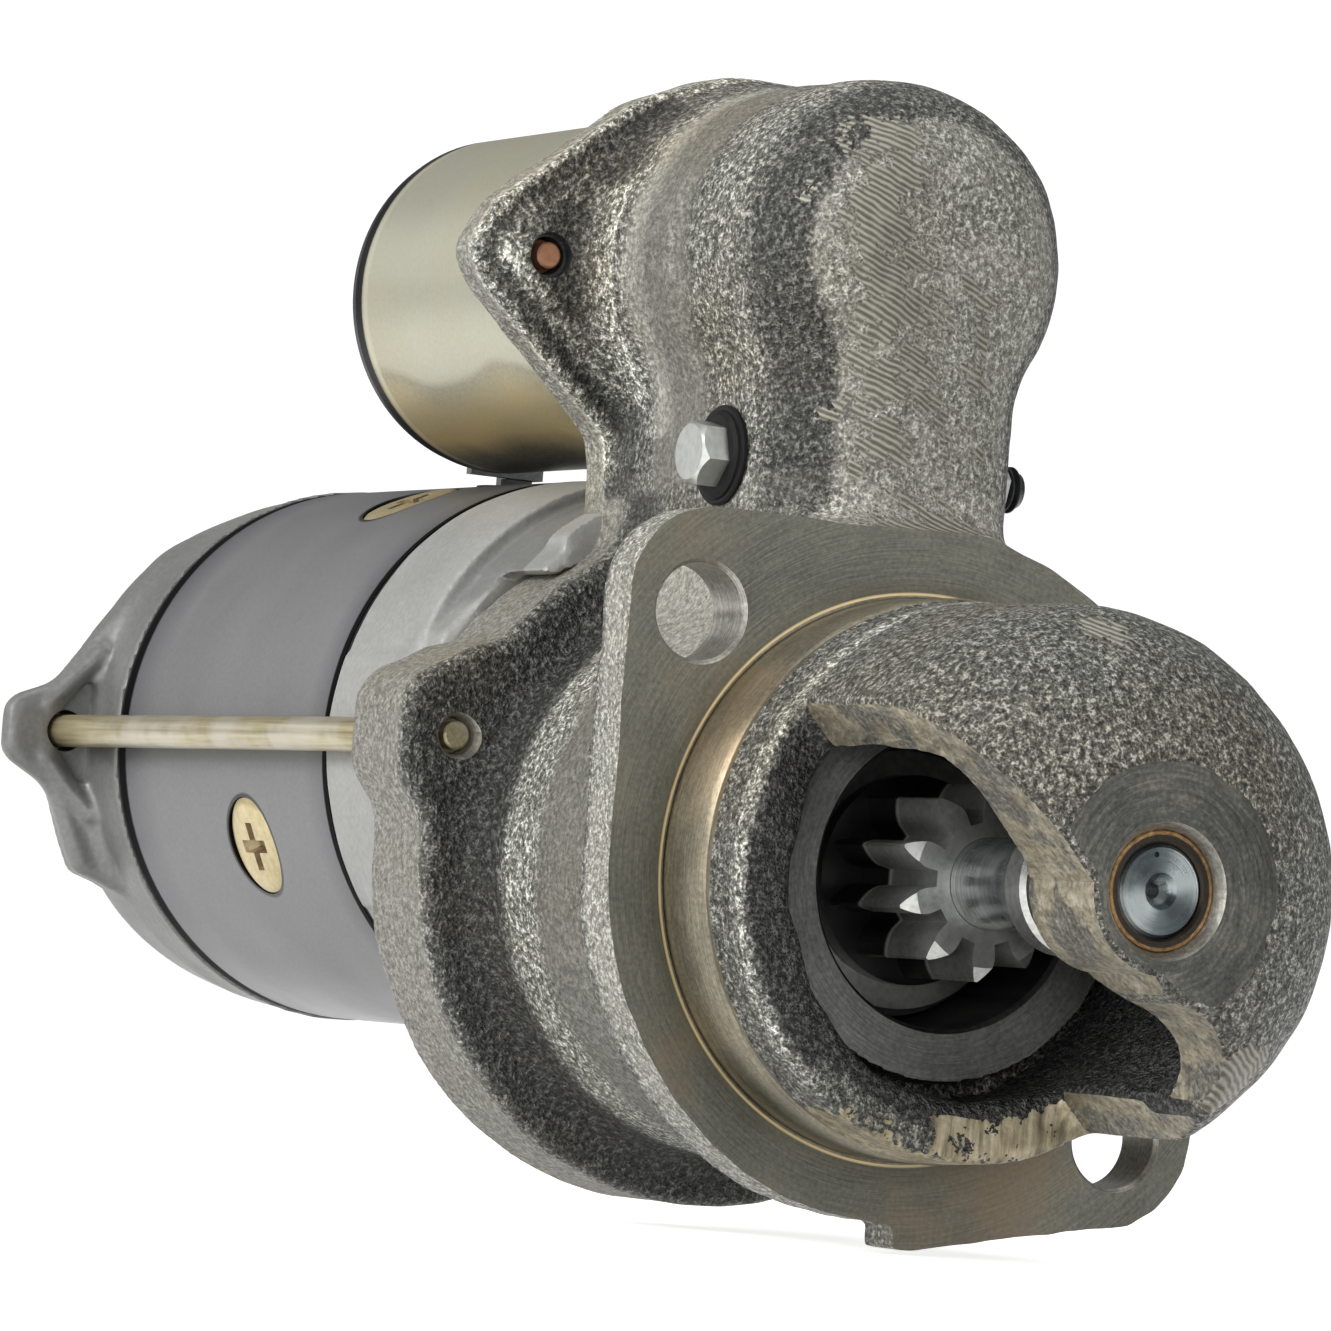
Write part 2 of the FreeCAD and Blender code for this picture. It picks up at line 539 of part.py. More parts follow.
# =====================================================================
# Overrunning clutch and pinion
# =====================================================================
FORK_X = PIVOT_X - DRIVE_TRAVEL / 2
clutch = rev([(FORK_X - 5.0, 10.06), (FORK_X - 5.0, 19.5), (FORK_X - 3.4, 19.5), (FORK_X - 3.4, 13.5),
              (FORK_X + 3.4, 13.5), (FORK_X + 3.4, 19.5), (FORK_X + 5.0, 19.5), (FORK_X + 5.0, 20.0),
              (FORK_X + 6.0, 22.4), (-6.0, 22.4), (-4.5, 21.2), (-3.0, 21.2), (-3.0, 14.6), (-8.0, 14.6), (-8.0, 10.06)])
put("clutch_shell", clutch)
pw = gear_wire(PIN_N, PIN_MOD, 15.9, 9.9, half=math.pi / (2 * PIN_N) * 1.02, points=6, pa=20.0)
pin = prism(pw, PIN_X0, PIN_X1)
pin = pin.common(rev([(PIN_X0, 0), (PIN_X0, 17), (PIN_X1 - 2.2, 17), (PIN_X1 - 2.2, 16.2), (PIN_X1, 13.6), (PIN_X1, 0)]))
pin = pin.fuse(cyl(-2.6, 0.6, 17.2)).fuse(cyl(-7.6, -2.0, 14.2))
pin = pin.cut(cyl(-20, 40, SHAFT_R + 0.06))
put("pinion_gear", pin.removeSplitter())

# =====================================================================
# Shift lever and its pivot
# =====================================================================
def bar_xz(pts, y0, y1):
    w = Part.makePolygon([V(x, y0, z) for x, z in pts] + [V(pts[0][0], y0, pts[0][1])])
    return Part.Face(w).extrude(V(0, y1 - y0, 0))


upx = PIVOT_X + PLUNGER_TRAVEL / 2
lever = cyl_y(-7.0, 7.0, 8.5, PIVOT_X, PIVOT_Z)
arm = bar_xz([(PIVOT_X - 6, PIVOT_Z), (PIVOT_X + 6, PIVOT_Z), (upx + 2.8, SOL_Z - 1), (upx - 2.8, SOL_Z - 1)], -3.0, 3.0)
tip = cyl_y(-3.0, 3.0, 3.4, upx, SOL_Z)
lower = bar_xz([(PIVOT_X - 6, PIVOT_Z), (PIVOT_X + 6, PIVOT_Z), (FORK_X + 5.5, 27.5), (FORK_X - 5.5, 27.5)], -6.0, 6.0)
yoke = tube(FORK_X - 2.6, FORK_X + 2.6, 29.0, 24.2).common(box(-80, 0, -30, 30, -3.5, 40))
pads = []
for sgn in (-1, 1):
    pads.append(cyl_y(*((-26.0, -14.4) if sgn < 0 else (14.4, 26.0)), 2.6, FORK_X, 0))
lever = lever.multiFuse([arm, tip, lower, yoke] + pads)
lever = lever.cut(cyl_y(-20, 20, 4.05, PIVOT_X, PIVOT_Z)).cut(cyl(-80, 0, 21.5).common(box(-80, 0, -30, 30, 3.2, 40)))
put("shift_lever", lever.removeSplitter())


def hexa_y(y0, y1, af, x, z):
    r = af / math.sqrt(3)
    pts = [V(x + r * math.cos(math.radians(60 * i + 12)), y0, z + r * math.sin(math.radians(60 * i + 12))) for i in range(6)]
    return Part.Face(Part.makePolygon(pts + [pts[0]])).extrude(V(0, y1 - y0, 0))


WASH_Y = -24.0
head = hexa_y(WASH_Y - 1.8 - 4.7, WASH_Y - 1.8, 10.0, PIVOT_X, PIVOT_Z)
pb = cyl_y(WASH_Y - 2.0, 33.0, 4.0, PIVOT_X, PIVOT_Z).fuse(head)
put("lever_pivot_bolt", pb.removeSplitter())
put("pivot_washer", cyl_y(WASH_Y - 1.8, WASH_Y, 8.4, PIVOT_X, PIVOT_Z).cut(cyl_y(-40, 0, 4.0, PIVOT_X, PIVOT_Z)))
put("pivot_nut", hexa_y(24.0, 28.6, 10.0, PIVOT_X, PIVOT_Z).cut(cyl_y(10, 40, 4.0, PIVOT_X, PIVOT_Z)))

# =====================================================================
# Solenoid
# =====================================================================
SX0, SX1 = SOL_X0, SOL_X1
can = cyl(SX0, SX1, SOL_R, 0, SOL_Z).fuse(prism(rounded([(-47.5, SOL_Z + 6, 6), (-47.5, SOL_Z - 6, 6), (-30, SOL_Z - 15, 3),
      (-14, SOL_Z - 22, 0), (14, SOL_Z - 22, 0), (30, SOL_Z - 15, 3), (47.5, SOL_Z - 6, 6), (47.5, SOL_Z + 6, 6),
      (30, SOL_Z + 15, 3), (14, SOL_Z + 22, 0), (-14, SOL_Z + 22, 0), (-30, SOL_Z + 15, 3)]), SX1 - 5, SX1))
can = can.cut(cyl(SX0 - 1, SX1 - 5.5, SOL_R - 2.0, 0, SOL_Z)).cut(cyl(SX0, SX1 + 1, 10.6, 0, SOL_Z))
for sgn in (-1, 1):
    can = can.cut(cyl(SX1 - 6, SX1 + 1, 3.05, sgn * STUD_Y, SOL_Z))
put("solenoid_can", can.removeSplitter())
put("solenoid_winding", tube(-151.0, -86.0, 26.5, 11.6, 0, SOL_Z))
put("solenoid_core", fuse(cyl(-157.5, -152.0, SOL_R - 2.0, 0, SOL_Z), cyl(-152.5, -134.0, 10.4, 0, SOL_Z)).cut(cyl(-170, -130, 2.6, 0, SOL_Z)))
B_Y, B_Z = 7.0, SOL_Z + 10.0
M_Y, M_Z = 11.0, SOL_Z - 9.0
S_Y, S_Z = -6.0, SOL_Z + 1.0
capx = SX0 - 2.2
scap = fuse(cyl(capx, SX0, 30.0, 0, SOL_Z), cyl(capx - 15.0, SX0, 21.5, 2.0, SOL_Z), cyl(SX0 - 1, SX0 + 5.9, 28.4, 0, SOL_Z))
scap = scap.cut(cyl(capx - 9.5, SX0 + 7, 18.0, 2.0, SOL_Z))
for y, z, r in ((B_Y, B_Z, 4.36), (M_Y, M_Z, 4.0), (S_Y, S_Z, 2.0)):
    scap = scap.cut(cyl(capx - 20, capx, r, y, z))
put("solenoid_cap", scap.removeSplitter())
scr = []
for sgn in (-1, 1):
    scr.append(fuse(cyl(SX1 - 6, PLATE_X1 + 0.6, 3.0, sgn * STUD_Y, SOL_Z), hexa(SX1 - 10.2, SX1 - 5, 10.0, sgn * STUD_Y, SOL_Z)))
put("solenoid_screws", *scr)
endx = capx - 15.0
st = [fuse(cyl(endx - 13.0, capx - 6.0, 4.0, B_Y, B_Z), cyl(endx - 4.6, capx - 6.0, 4.35, B_Y, B_Z), cyl(capx - 9.3, capx - 3.7, 6.0, B_Y, B_Z)),
      fuse(cyl(endx - 10.0, capx - 6.0, 4.0, M_Y, M_Z), cyl(capx - 9.3, capx - 3.7, 5.2, M_Y, M_Z))]
put("terminal_studs", *st)
put("terminal_nuts", hexa(endx - 4.6, endx, 13.0, B_Y, B_Z).cut(cyl(endx - 9, endx + 1, 4.36, B_Y, B_Z)),
    hexa(endx - 6.6, endx - 2.0, 13.0, M_Y, M_Z).cut(cyl(endx - 9, endx + 1, 4.0, M_Y, M_Z)))
put("switch_terminal", fuse(cyl(endx - 5.0, capx - 7.0, 2.0, S_Y, S_Z), hexa(endx - 2.2, endx, 7.0, S_Y, S_Z)))
# plunger, its return spring and the moving contact
put("plunger", fuse(cyl(-123.5, -38.0, 10.4, 0, SOL_Z), cyl(-40.0, -22.0, 9.0, 0, SOL_Z)).cut(box(upx - 3.8, upx + 3.8, -3.6, 3.6, SOL_Z - 12, SOL_Z + 5)).cut(box(upx - 6.6, upx + 6.6, -3.6, 3.6, SOL_Z - 12, SOL_Z - 3)).removeSplitter())
turns = []
for i in range(7):
    turns.append(Part.makeTorus(13.4, 0.9, V(-76.5 + i * 5.2, 0, SOL_Z), X))
put("return_spring", *turns)
put("spring_seat", fuse(tube(-44.4, -42.2, 15.4, 10.4, 0, SOL_Z)))
put("contact_disc", fuse(cyl(-166.2, -163.8, 13.0, 2.0, SOL_Z).cut(cyl(-170, -160, 2.4, 0, SOL_Z)), cyl(-168.0, -130.7, 2.4, 0, SOL_Z)))

# =====================================================================
# Motor lead: copper strap from the lower solenoid stud to the frame's grommet
# =====================================================================
sx = endx
strap_v = fuse(box(sx - 2.0, sx, M_Y - 6.5, M_Y + 6.5, 72.0, M_Z + 6.5))
strap_v = strap_v.cut(cyl(sx - 4, sx + 4, 4.0, M_Y, M_Z))
strap_h = box(LEAD_X - 1.0, sx, LEAD_Y - 4.0, LEAD_Y + 2.5, 72.0, 74.0)
strap_d = box(LEAD_X - 1.0, LEAD_X + 1.0, LEAD_Y - 4.0, LEAD_Y + 2.5, 58.0, 73.0)
put("motor_lead", fuse(strap_v, strap_h, strap_d))
gro = Part.makeCylinder(5.95, 12.0, V(LEAD_X, LEAD_Y, 57.5), V(0, 0, 1)).fuse(Part.makeCylinder(7.6, 3.6, V(LEAD_X, LEAD_Y, 66.9), V(0, 0, 1)))
gro = gro.cut(cyl(-250, -100, FRAME_R, 0, MOTOR_Z).cut(Part.makeCylinder(5.95, 40, V(LEAD_X, LEAD_Y, 40), V(0, 0, 1))))
gro = gro.cut(fuse(strap_h, strap_d))
put("lead_grommet", gro.removeSplitter())

# =====================================================================
for name, s in nodes.items():
    sol = s.Solids
    bad = [i for i, q in enumerate(sol) if not q.isValid() or q.Volume <= 0]
    print("%-24s solids %2d volume %10.1f valid %s%s" % (name, len(sol), s.Volume, s.isValid(), " BAD %s" % bad if bad else ""))
    s.exportStep("parts/%s.step" % name)
print("lever swing", LEVER_SWING, "motor z", MOTOR_Z, "strap x", sx)
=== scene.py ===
import bpy, bmesh, math
import numpy as np
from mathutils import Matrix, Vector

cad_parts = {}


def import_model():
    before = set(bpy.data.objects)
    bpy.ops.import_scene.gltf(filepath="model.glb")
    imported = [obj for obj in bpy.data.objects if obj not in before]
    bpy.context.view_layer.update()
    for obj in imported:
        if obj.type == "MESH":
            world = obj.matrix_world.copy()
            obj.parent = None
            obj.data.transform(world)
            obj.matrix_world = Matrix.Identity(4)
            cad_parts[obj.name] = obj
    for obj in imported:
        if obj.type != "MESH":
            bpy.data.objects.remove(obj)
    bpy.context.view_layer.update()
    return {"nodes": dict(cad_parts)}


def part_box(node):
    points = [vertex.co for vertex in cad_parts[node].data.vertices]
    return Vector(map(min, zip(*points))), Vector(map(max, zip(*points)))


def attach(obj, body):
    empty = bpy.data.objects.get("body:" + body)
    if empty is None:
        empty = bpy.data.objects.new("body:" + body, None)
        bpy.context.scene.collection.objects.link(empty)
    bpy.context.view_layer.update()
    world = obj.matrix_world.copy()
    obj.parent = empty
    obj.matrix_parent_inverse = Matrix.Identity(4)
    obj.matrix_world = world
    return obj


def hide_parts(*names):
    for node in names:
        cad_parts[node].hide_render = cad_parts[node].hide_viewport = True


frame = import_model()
import openvdb
from mathutils import Vector, Matrix

# Looks of an offset gear-reduction starter motor. Shapes are worked out in millimetres and scaled to metres.
MZ, SZ = 18.75, 101.75          # motor and solenoid axis heights
PX, PZ = -31.7, 68.2            # lever pivot
F32 = np.float32
scene = bpy.context.scene
N = frame["nodes"]

# ---------------------------------------------------------------- fields
def axes(x0, x1, y0, y1, z0, z1, h):
    a = [np.arange(lo, hi + h * 0.5, h, dtype=F32) for lo, hi in ((x0, x1), (y0, y1), (z0, z1))]
    return a, a[0][:, None, None], a[1][None, :, None], a[2][None, None, :]

def smin(a, b, k):
    h = np.maximum(k - np.abs(a - b), 0) / k
    return np.minimum(a, b) - h * h * (k * 0.25)

def smax(a, b, k):
    h = np.maximum(k - np.abs(a - b), 0) / k
    return np.maximum(a, b) + h * h * (k * 0.25)

def poly2(ys, zs, pts):
    """Signed distance of a closed outline in the YZ plane, on the grid's YZ sheet."""
    y, z = ys[:, None].astype(np.float64), zs[None, :].astype(np.float64)
    d = np.full((len(ys), len(zs)), 1e9)
    s = np.ones_like(d)
    n = len(pts)
    for i in range(n):
        ax, ay = pts[i]
        bx, by = pts[(i + 1) % n]
        ex, ey = bx - ax, by - ay
        wx, wy = y - ax, z - ay
        t = np.clip((wx * ex + wy * ey) / max(ex * ex + ey * ey, 1e-12), 0, 1)
        d = np.minimum(d, (wx - ex * t) ** 2 + (wy - ey * t) ** 2)
        c1, c2, c3 = z >= ay, z < by, ex * wy > ey * wx
        flip = (c1 & c2 & c3) | (~c1 & ~c2 & ~c3)
        s = np.where(flip, -s, s)
    return (s * np.sqrt(d)).astype(F32)

def extr(d2, x, x0, x1, r):
    """Extrusion of a YZ outline from x0 to x1 with rounded ends of radius r."""
    c, h = 0.5 * (x0 + x1), 0.5 * (x1 - x0)
    a = d2[None, :, :] + r
    b = np.abs(x - c) - h + r
    return np.minimum(np.maximum(a, b), 0) + np.sqrt(np.maximum(a, 0) ** 2 + np.maximum(b, 0) ** 2) - r

def cylx(x, rad, x0, x1, r, e):
    """Cylinder along X: rad is the distance to its axis."""
    c, h = 0.5 * (x0 + x1), 0.5 * (x1 - x0)
    a = rad - r + e
    b = np.abs(x - c) - h + e
    return np.minimum(np.maximum(a, b), 0) + np.sqrt(np.maximum(a, 0) ** 2 + np.maximum(b, 0) ** 2) - e

def wave(ax, scale, seed):
    """Smooth noise of about unit height, cubic B-spline lattice of the given pitch."""
    rng = np.random.default_rng(seed)
    ws, dims = [], []
    for a in ax:
        u = (a - a[0]) / scale + 1.0
        i = np.floor(u).astype(int)
        t = u - i
        n = i[-1] + 3
        w = np.zeros((len(a), n), F32)
        r = np.arange(len(a))
        w[r, i - 1] = (1 - t) ** 3 / 6
        w[r, i] = (3 * t ** 3 - 6 * t ** 2 + 4) / 6
        w[r, i + 1] = (-3 * t ** 3 + 3 * t ** 2 + 3 * t + 1) / 6
        w[r, i + 2] = t ** 3 / 6
        ws.append(w)
        dims.append(n)
    lat = rng.standard_normal(dims).astype(F32)
    o = np.tensordot(ws[0], lat, (1, 0))
    o = np.tensordot(o, ws[1], (1, 1)).transpose(0, 2, 1)
    o = np.tensordot(o, ws[2], (2, 1))
    return o * 1.9

def rounded(pts, seg=6):
    """Outline with rounded corners from (y, z, r) corners."""
    out = []
    n = len(pts)
    for i in range(n):
        p = np.array(pts[i][:2], float)
        r = pts[i][2]
        a = np.array(pts[i - 1][:2], float) - p
        b = np.array(pts[(i + 1) % n][:2], float) - p
        la, lb = np.hypot(*a), np.hypot(*b)
        a, b = a / la, b / lb
        if r <= 0:
            out.append(tuple(p))
            continue
        ang = math.acos(max(-1, min(1, float(a @ b))))
        d = min(r / math.tan(ang / 2), 0.49 * la, 0.49 * lb)
        rr = d * math.tan(ang / 2)
        bis = (a + b) / np.hypot(*(a + b))
        c = p + bis * (rr / math.sin(ang / 2))
        v0, v1 = p + a * d - c, p + b * d - c
        a0, a1 = math.atan2(v0[1], v0[0]), math.atan2(v1[1], v1[0])
        while a1 - a0 > math.pi: a1 -= 2 * math.pi
        while a1 - a0 < -math.pi: a1 += 2 * math.pi
        for k in range(seg + 1):
            t = a0 + (a1 - a0) * k / seg
            out.append((c[0] + rr * math.cos(t), c[1] + rr * math.sin(t)))
    return out

def arc(cy, cz, r, a0, a1, n=24):
    return [(cy + r * math.cos(math.radians(a0 + (a1 - a0) * k / n)), cz + r * math.sin(math.radians(a0 + (a1 - a0) * k / n))) for k in range(n + 1)]

# ---------------------------------------------------------------- meshes
def mesh_np(name, verts, faces):
    me = bpy.data.meshes.new(name)
    verts = np.ascontiguousarray(verts, dtype=F32)
    k = faces.shape[1]
    me.vertices.add(len(verts))
    me.vertices.foreach_set("co", verts.ravel())
    me.loops.add(len(faces) * k)
    me.loops.foreach_set("vertex_index", np.ascontiguousarray(faces, dtype=np.int32).ravel())
    me.polygons.add(len(faces))
    me.polygons.foreach_set("loop_start", np.arange(0, len(faces) * k, k, dtype=np.int32))
    me.update(calc_edges=True)
    me.validate()
    return me

def obj(name, me):
    o = bpy.data.objects.new(name, me)
    scene.collection.objects.link(o)
    return o

def skin(name, field, ax, h):
    """Closed mesh of the field's zero surface."""
    g = openvdb.FloatGrid(3.0 * h)
    f = np.clip(field, -3 * h, 3 * h).astype(F32)
    f[0], f[-1], f[:, 0], f[:, -1], f[:, :, 0], f[:, :, -1] = [3 * h] * 6
    g.copyFromArray(f)
    pts, quads = g.convertToQuads(0.0)[:2]
    pts = np.asarray(pts, F32) * h + np.array([a[0] for a in ax], F32)
    quads = np.asarray(quads, np.int64)
    p = pts[quads]
    n = np.cross(p[:, 2] - p[:, 0], p[:, 3] - p[:, 1])
    vol = (n * p[:, 0]).sum()
    if vol < 0:
        quads = quads[:, ::-1]
    return obj(name, mesh_np(name, pts, quads))

def lathe(name, prof, seg=256, y=0.0, z=0.0, mat=None, axis="x", x=0.0, start=0.0):
    """Turned solid from a closed (x, r) outline; axis 'x' or 'y'."""
    vs, rings = [], []
    for px, pr in prof:
        if pr < 1e-6:
            rings.append([len(vs)])
            vs.append((px, 0.0, 0.0))
        else:
            r = []
            for k in range(seg):
                t = 2 * math.pi * (k + start) / seg
                r.append(len(vs))
                vs.append((px, pr * math.cos(t), pr * math.sin(t)))
            rings.append(r)
    fs = []
    n = len(prof)
    for i in range(n):
        a, b = rings[i], rings[(i + 1) % n]
        if len(a) == 1 and len(b) == 1:
            continue
        for k in range(seg):
            k2 = (k + 1) % seg
            if len(a) == 1:
                fs.append((a[0], b[k], b[k2]))
            elif len(b) == 1:
                fs.append((a[k], b[0], a[k2]))
            else:
                fs.append((a[k], b[k], b[k2], a[k2]))
    if axis == "y":
        vs = [(-q, p, r) for p, q, r in vs]
    vs = [(a + x, b + y, c + z) for a, b, c in vs]
    me = bpy.data.meshes.new(name)
    me.from_pydata(vs, [], fs)
    bm = bmesh.new()
    bm.from_mesh(me)
    bmesh.ops.recalc_face_normals(bm, faces=bm.faces)
    if bm.calc_volume(signed=True) < 0:
        bmesh.ops.reverse_faces(bm, faces=bm.faces)
    bm.to_mesh(me)
    bm.free()
    if mat:
        me.materials.append(mat)
    return obj(name, me)

def prism(name, pts, x0, x1, mat=None, chamfer=0.0):
    """Extruded YZ outline."""
    me = bpy.data.meshes.new(name)
    bm = bmesh.new()
    lo = [bm.verts.new((x0, a, b)) for a, b in pts]
    hi = [bm.verts.new((x1, a, b)) for a, b in pts]
    n = len(pts)
    bm.faces.new(lo)
    bm.faces.new(hi[::-1])
    for i in range(n):
        bm.faces.new((lo[i], hi[i], hi[(i + 1) % n], lo[(i + 1) % n]))
    bmesh.ops.recalc_face_normals(bm, faces=bm.faces)
    bm.to_mesh(me)
    bm.free()
    if mat:
        me.materials.append(mat)
    return obj(name, me)

def boolean(o, tools, op="DIFFERENCE"):
    for t in tools:
        m = o.modifiers.new("b", "BOOLEAN")
        m.operation, m.object, m.solver = op, t, "MANIFOLD"
        m.material_mode = "TRANSFER"
    dg = bpy.context.evaluated_depsgraph_get()
    me = bpy.data.meshes.new_from_object(o.evaluated_get(dg), preserve_all_data_layers=True, depsgraph=dg)
    o.modifiers.clear()
    old = o.data
    o.data = me
    bpy.data.meshes.remove(old)
    for t in tools:
        d = t.data
        bpy.data.objects.remove(t)
        bpy.data.meshes.remove(d)
    return o

def done(o, sharp=35.0):
    """Scale to metres and shade."""
    me = o.data
    me.transform(Matrix.Scale(0.001, 4))
    me.shade_smooth()
    me.set_sharp_from_angle(angle=math.radians(sharp))
    return o

def verts_of(me):
    co = np.zeros(len(me.vertices) * 3, F32)
    me.vertices.foreach_get("co", co)
    return co.reshape(-1, 3)

def attr(me, name, val):
    a = me.attributes.new(name, "FLOAT", "POINT")
    a.data.foreach_set("value", np.ascontiguousarray(val, dtype=F32))

def sstep(a, b, x):
    t = np.clip((x - a) / (b - a), 0, 1)
    return t * t * (3 - 2 * t)

# ---------------------------------------------------------------- materials
class Mat:
    """Small helper around a Principled material."""
    def __init__(self, name, **kw):
        self.m = bpy.data.materials.new(name)
        self.m.use_nodes = True
        self.t = self.m.node_tree
        self.p = self.t.nodes["Principled BSDF"]
        self.tc = self.t.nodes.new("ShaderNodeTexCoord")
        for k, v in kw.items():
            self.p.inputs[k.replace("_", " ")].default_value = v
    def node(self, kind, **kw):
        n = self.t.nodes.new(kind)
        for k, v in kw.items():
            setattr(n, k, v)
        return n
    def link(self, a, b):
        self.t.links.new(a, b)
        return self
    def coord(self, scale=(1, 1, 1), rot=(0, 0, 0)):
        m = self.node("ShaderNodeMapping")
        m.inputs["Scale"].default_value = scale
        m.inputs["Rotation"].default_value = rot
        self.link(self.tc.outputs["Object"], m.inputs["Vector"])
        return m.outputs["Vector"]
    def noise(self, scale, detail=2.0, rough=0.5, vec=None, dist=0.0):
        n = self.node("ShaderNodeTexNoise")
        n.inputs["Scale"].default_value = scale
        n.inputs["Detail"].default_value = detail
        n.inputs["Roughness"].default_value = rough
        n.inputs["Distortion"].default_value = dist
        self.link(vec if vec is not None else self.tc.outputs["Object"], n.inputs["Vector"])
        return n.outputs["Fac"]
    def voro(self, scale, vec=None, feature="F1"):
        n = self.node("ShaderNodeTexVoronoi", feature=feature)
        n.inputs["Scale"].default_value = scale
        self.link(vec if vec is not None else self.tc.outputs["Object"], n.inputs["Vector"])
        return n.outputs["Distance"]
    def ramp(self, fac, stops):
        n = self.node("ShaderNodeValToRGB")
        e = n.color_ramp.elements
        while len(e) < len(stops):
            e.new(0.5)
        for i, (p, c) in enumerate(stops):
            e[i].position = p
            e[i].color = (c[0], c[1], c[2], 1) if not isinstance(c, (int, float)) else (c, c, c, 1)
        self.link(fac, n.inputs["Fac"])
        return n.outputs["Color"]
    def range(self, v, a, b, c, d):
        n = self.node("ShaderNodeMapRange")
        for k, x in zip(("From Min", "From Max", "To Min", "To Max"), (a, b, c, d)):
            n.inputs[k].default_value = x
        self.link(v, n.inputs["Value"])
        return n.outputs["Result"]
    def math(self, op, a, b=None, c=None):
        n = self.node("ShaderNodeMath", operation=op)
        for i, x in enumerate((a, b, c)):
            if x is None: continue
            if isinstance(x, (int, float)): n.inputs[i].default_value = x
            else: self.link(x, n.inputs[i])
        return n.outputs[0]
    def mix(self, fac, a, b, blend="MIX"):
        n = self.node("ShaderNodeMix", data_type="RGBA", blend_type=blend)
        for k, x in ((0, fac), (6, a), (7, b)):
            if isinstance(x, (int, float)): n.inputs[k].default_value = x
            elif isinstance(x, tuple): n.inputs[k].default_value = (*x, 1)
            else: self.link(x, n.inputs[k])
        return n.outputs[2]
    def attr(self, name):
        n = self.node("ShaderNodeAttribute", attribute_name=name, attribute_type="GEOMETRY")
        return n.outputs["Fac"]
    def bump(self, height, dist, strength=1.0, normal=None):
        n = self.node("ShaderNodeBump")
        n.inputs["Distance"].default_value = dist
        if isinstance(strength, (int, float)): n.inputs["Strength"].default_value = strength
        else: self.link(strength, n.inputs["Strength"])
        self.link(height, n.inputs["Height"])
        if normal is not None:
            self.link(normal, n.inputs["Normal"])
        return n.outputs["Normal"]
    def sep(self, vec=None):
        n = self.node("ShaderNodeSeparateXYZ")
        self.link(vec if vec is not None else self.tc.outputs["Object"], n.inputs[0])
        return n.outputs
    def out(self, color=None, rough=None, normal=None, metal=None):
        for k, x in (("Base Color", color), ("Roughness", rough), ("Normal", normal), ("Metallic", metal)):
            if x is not None:
                self.link(x, self.p.inputs[k])
        return self.m

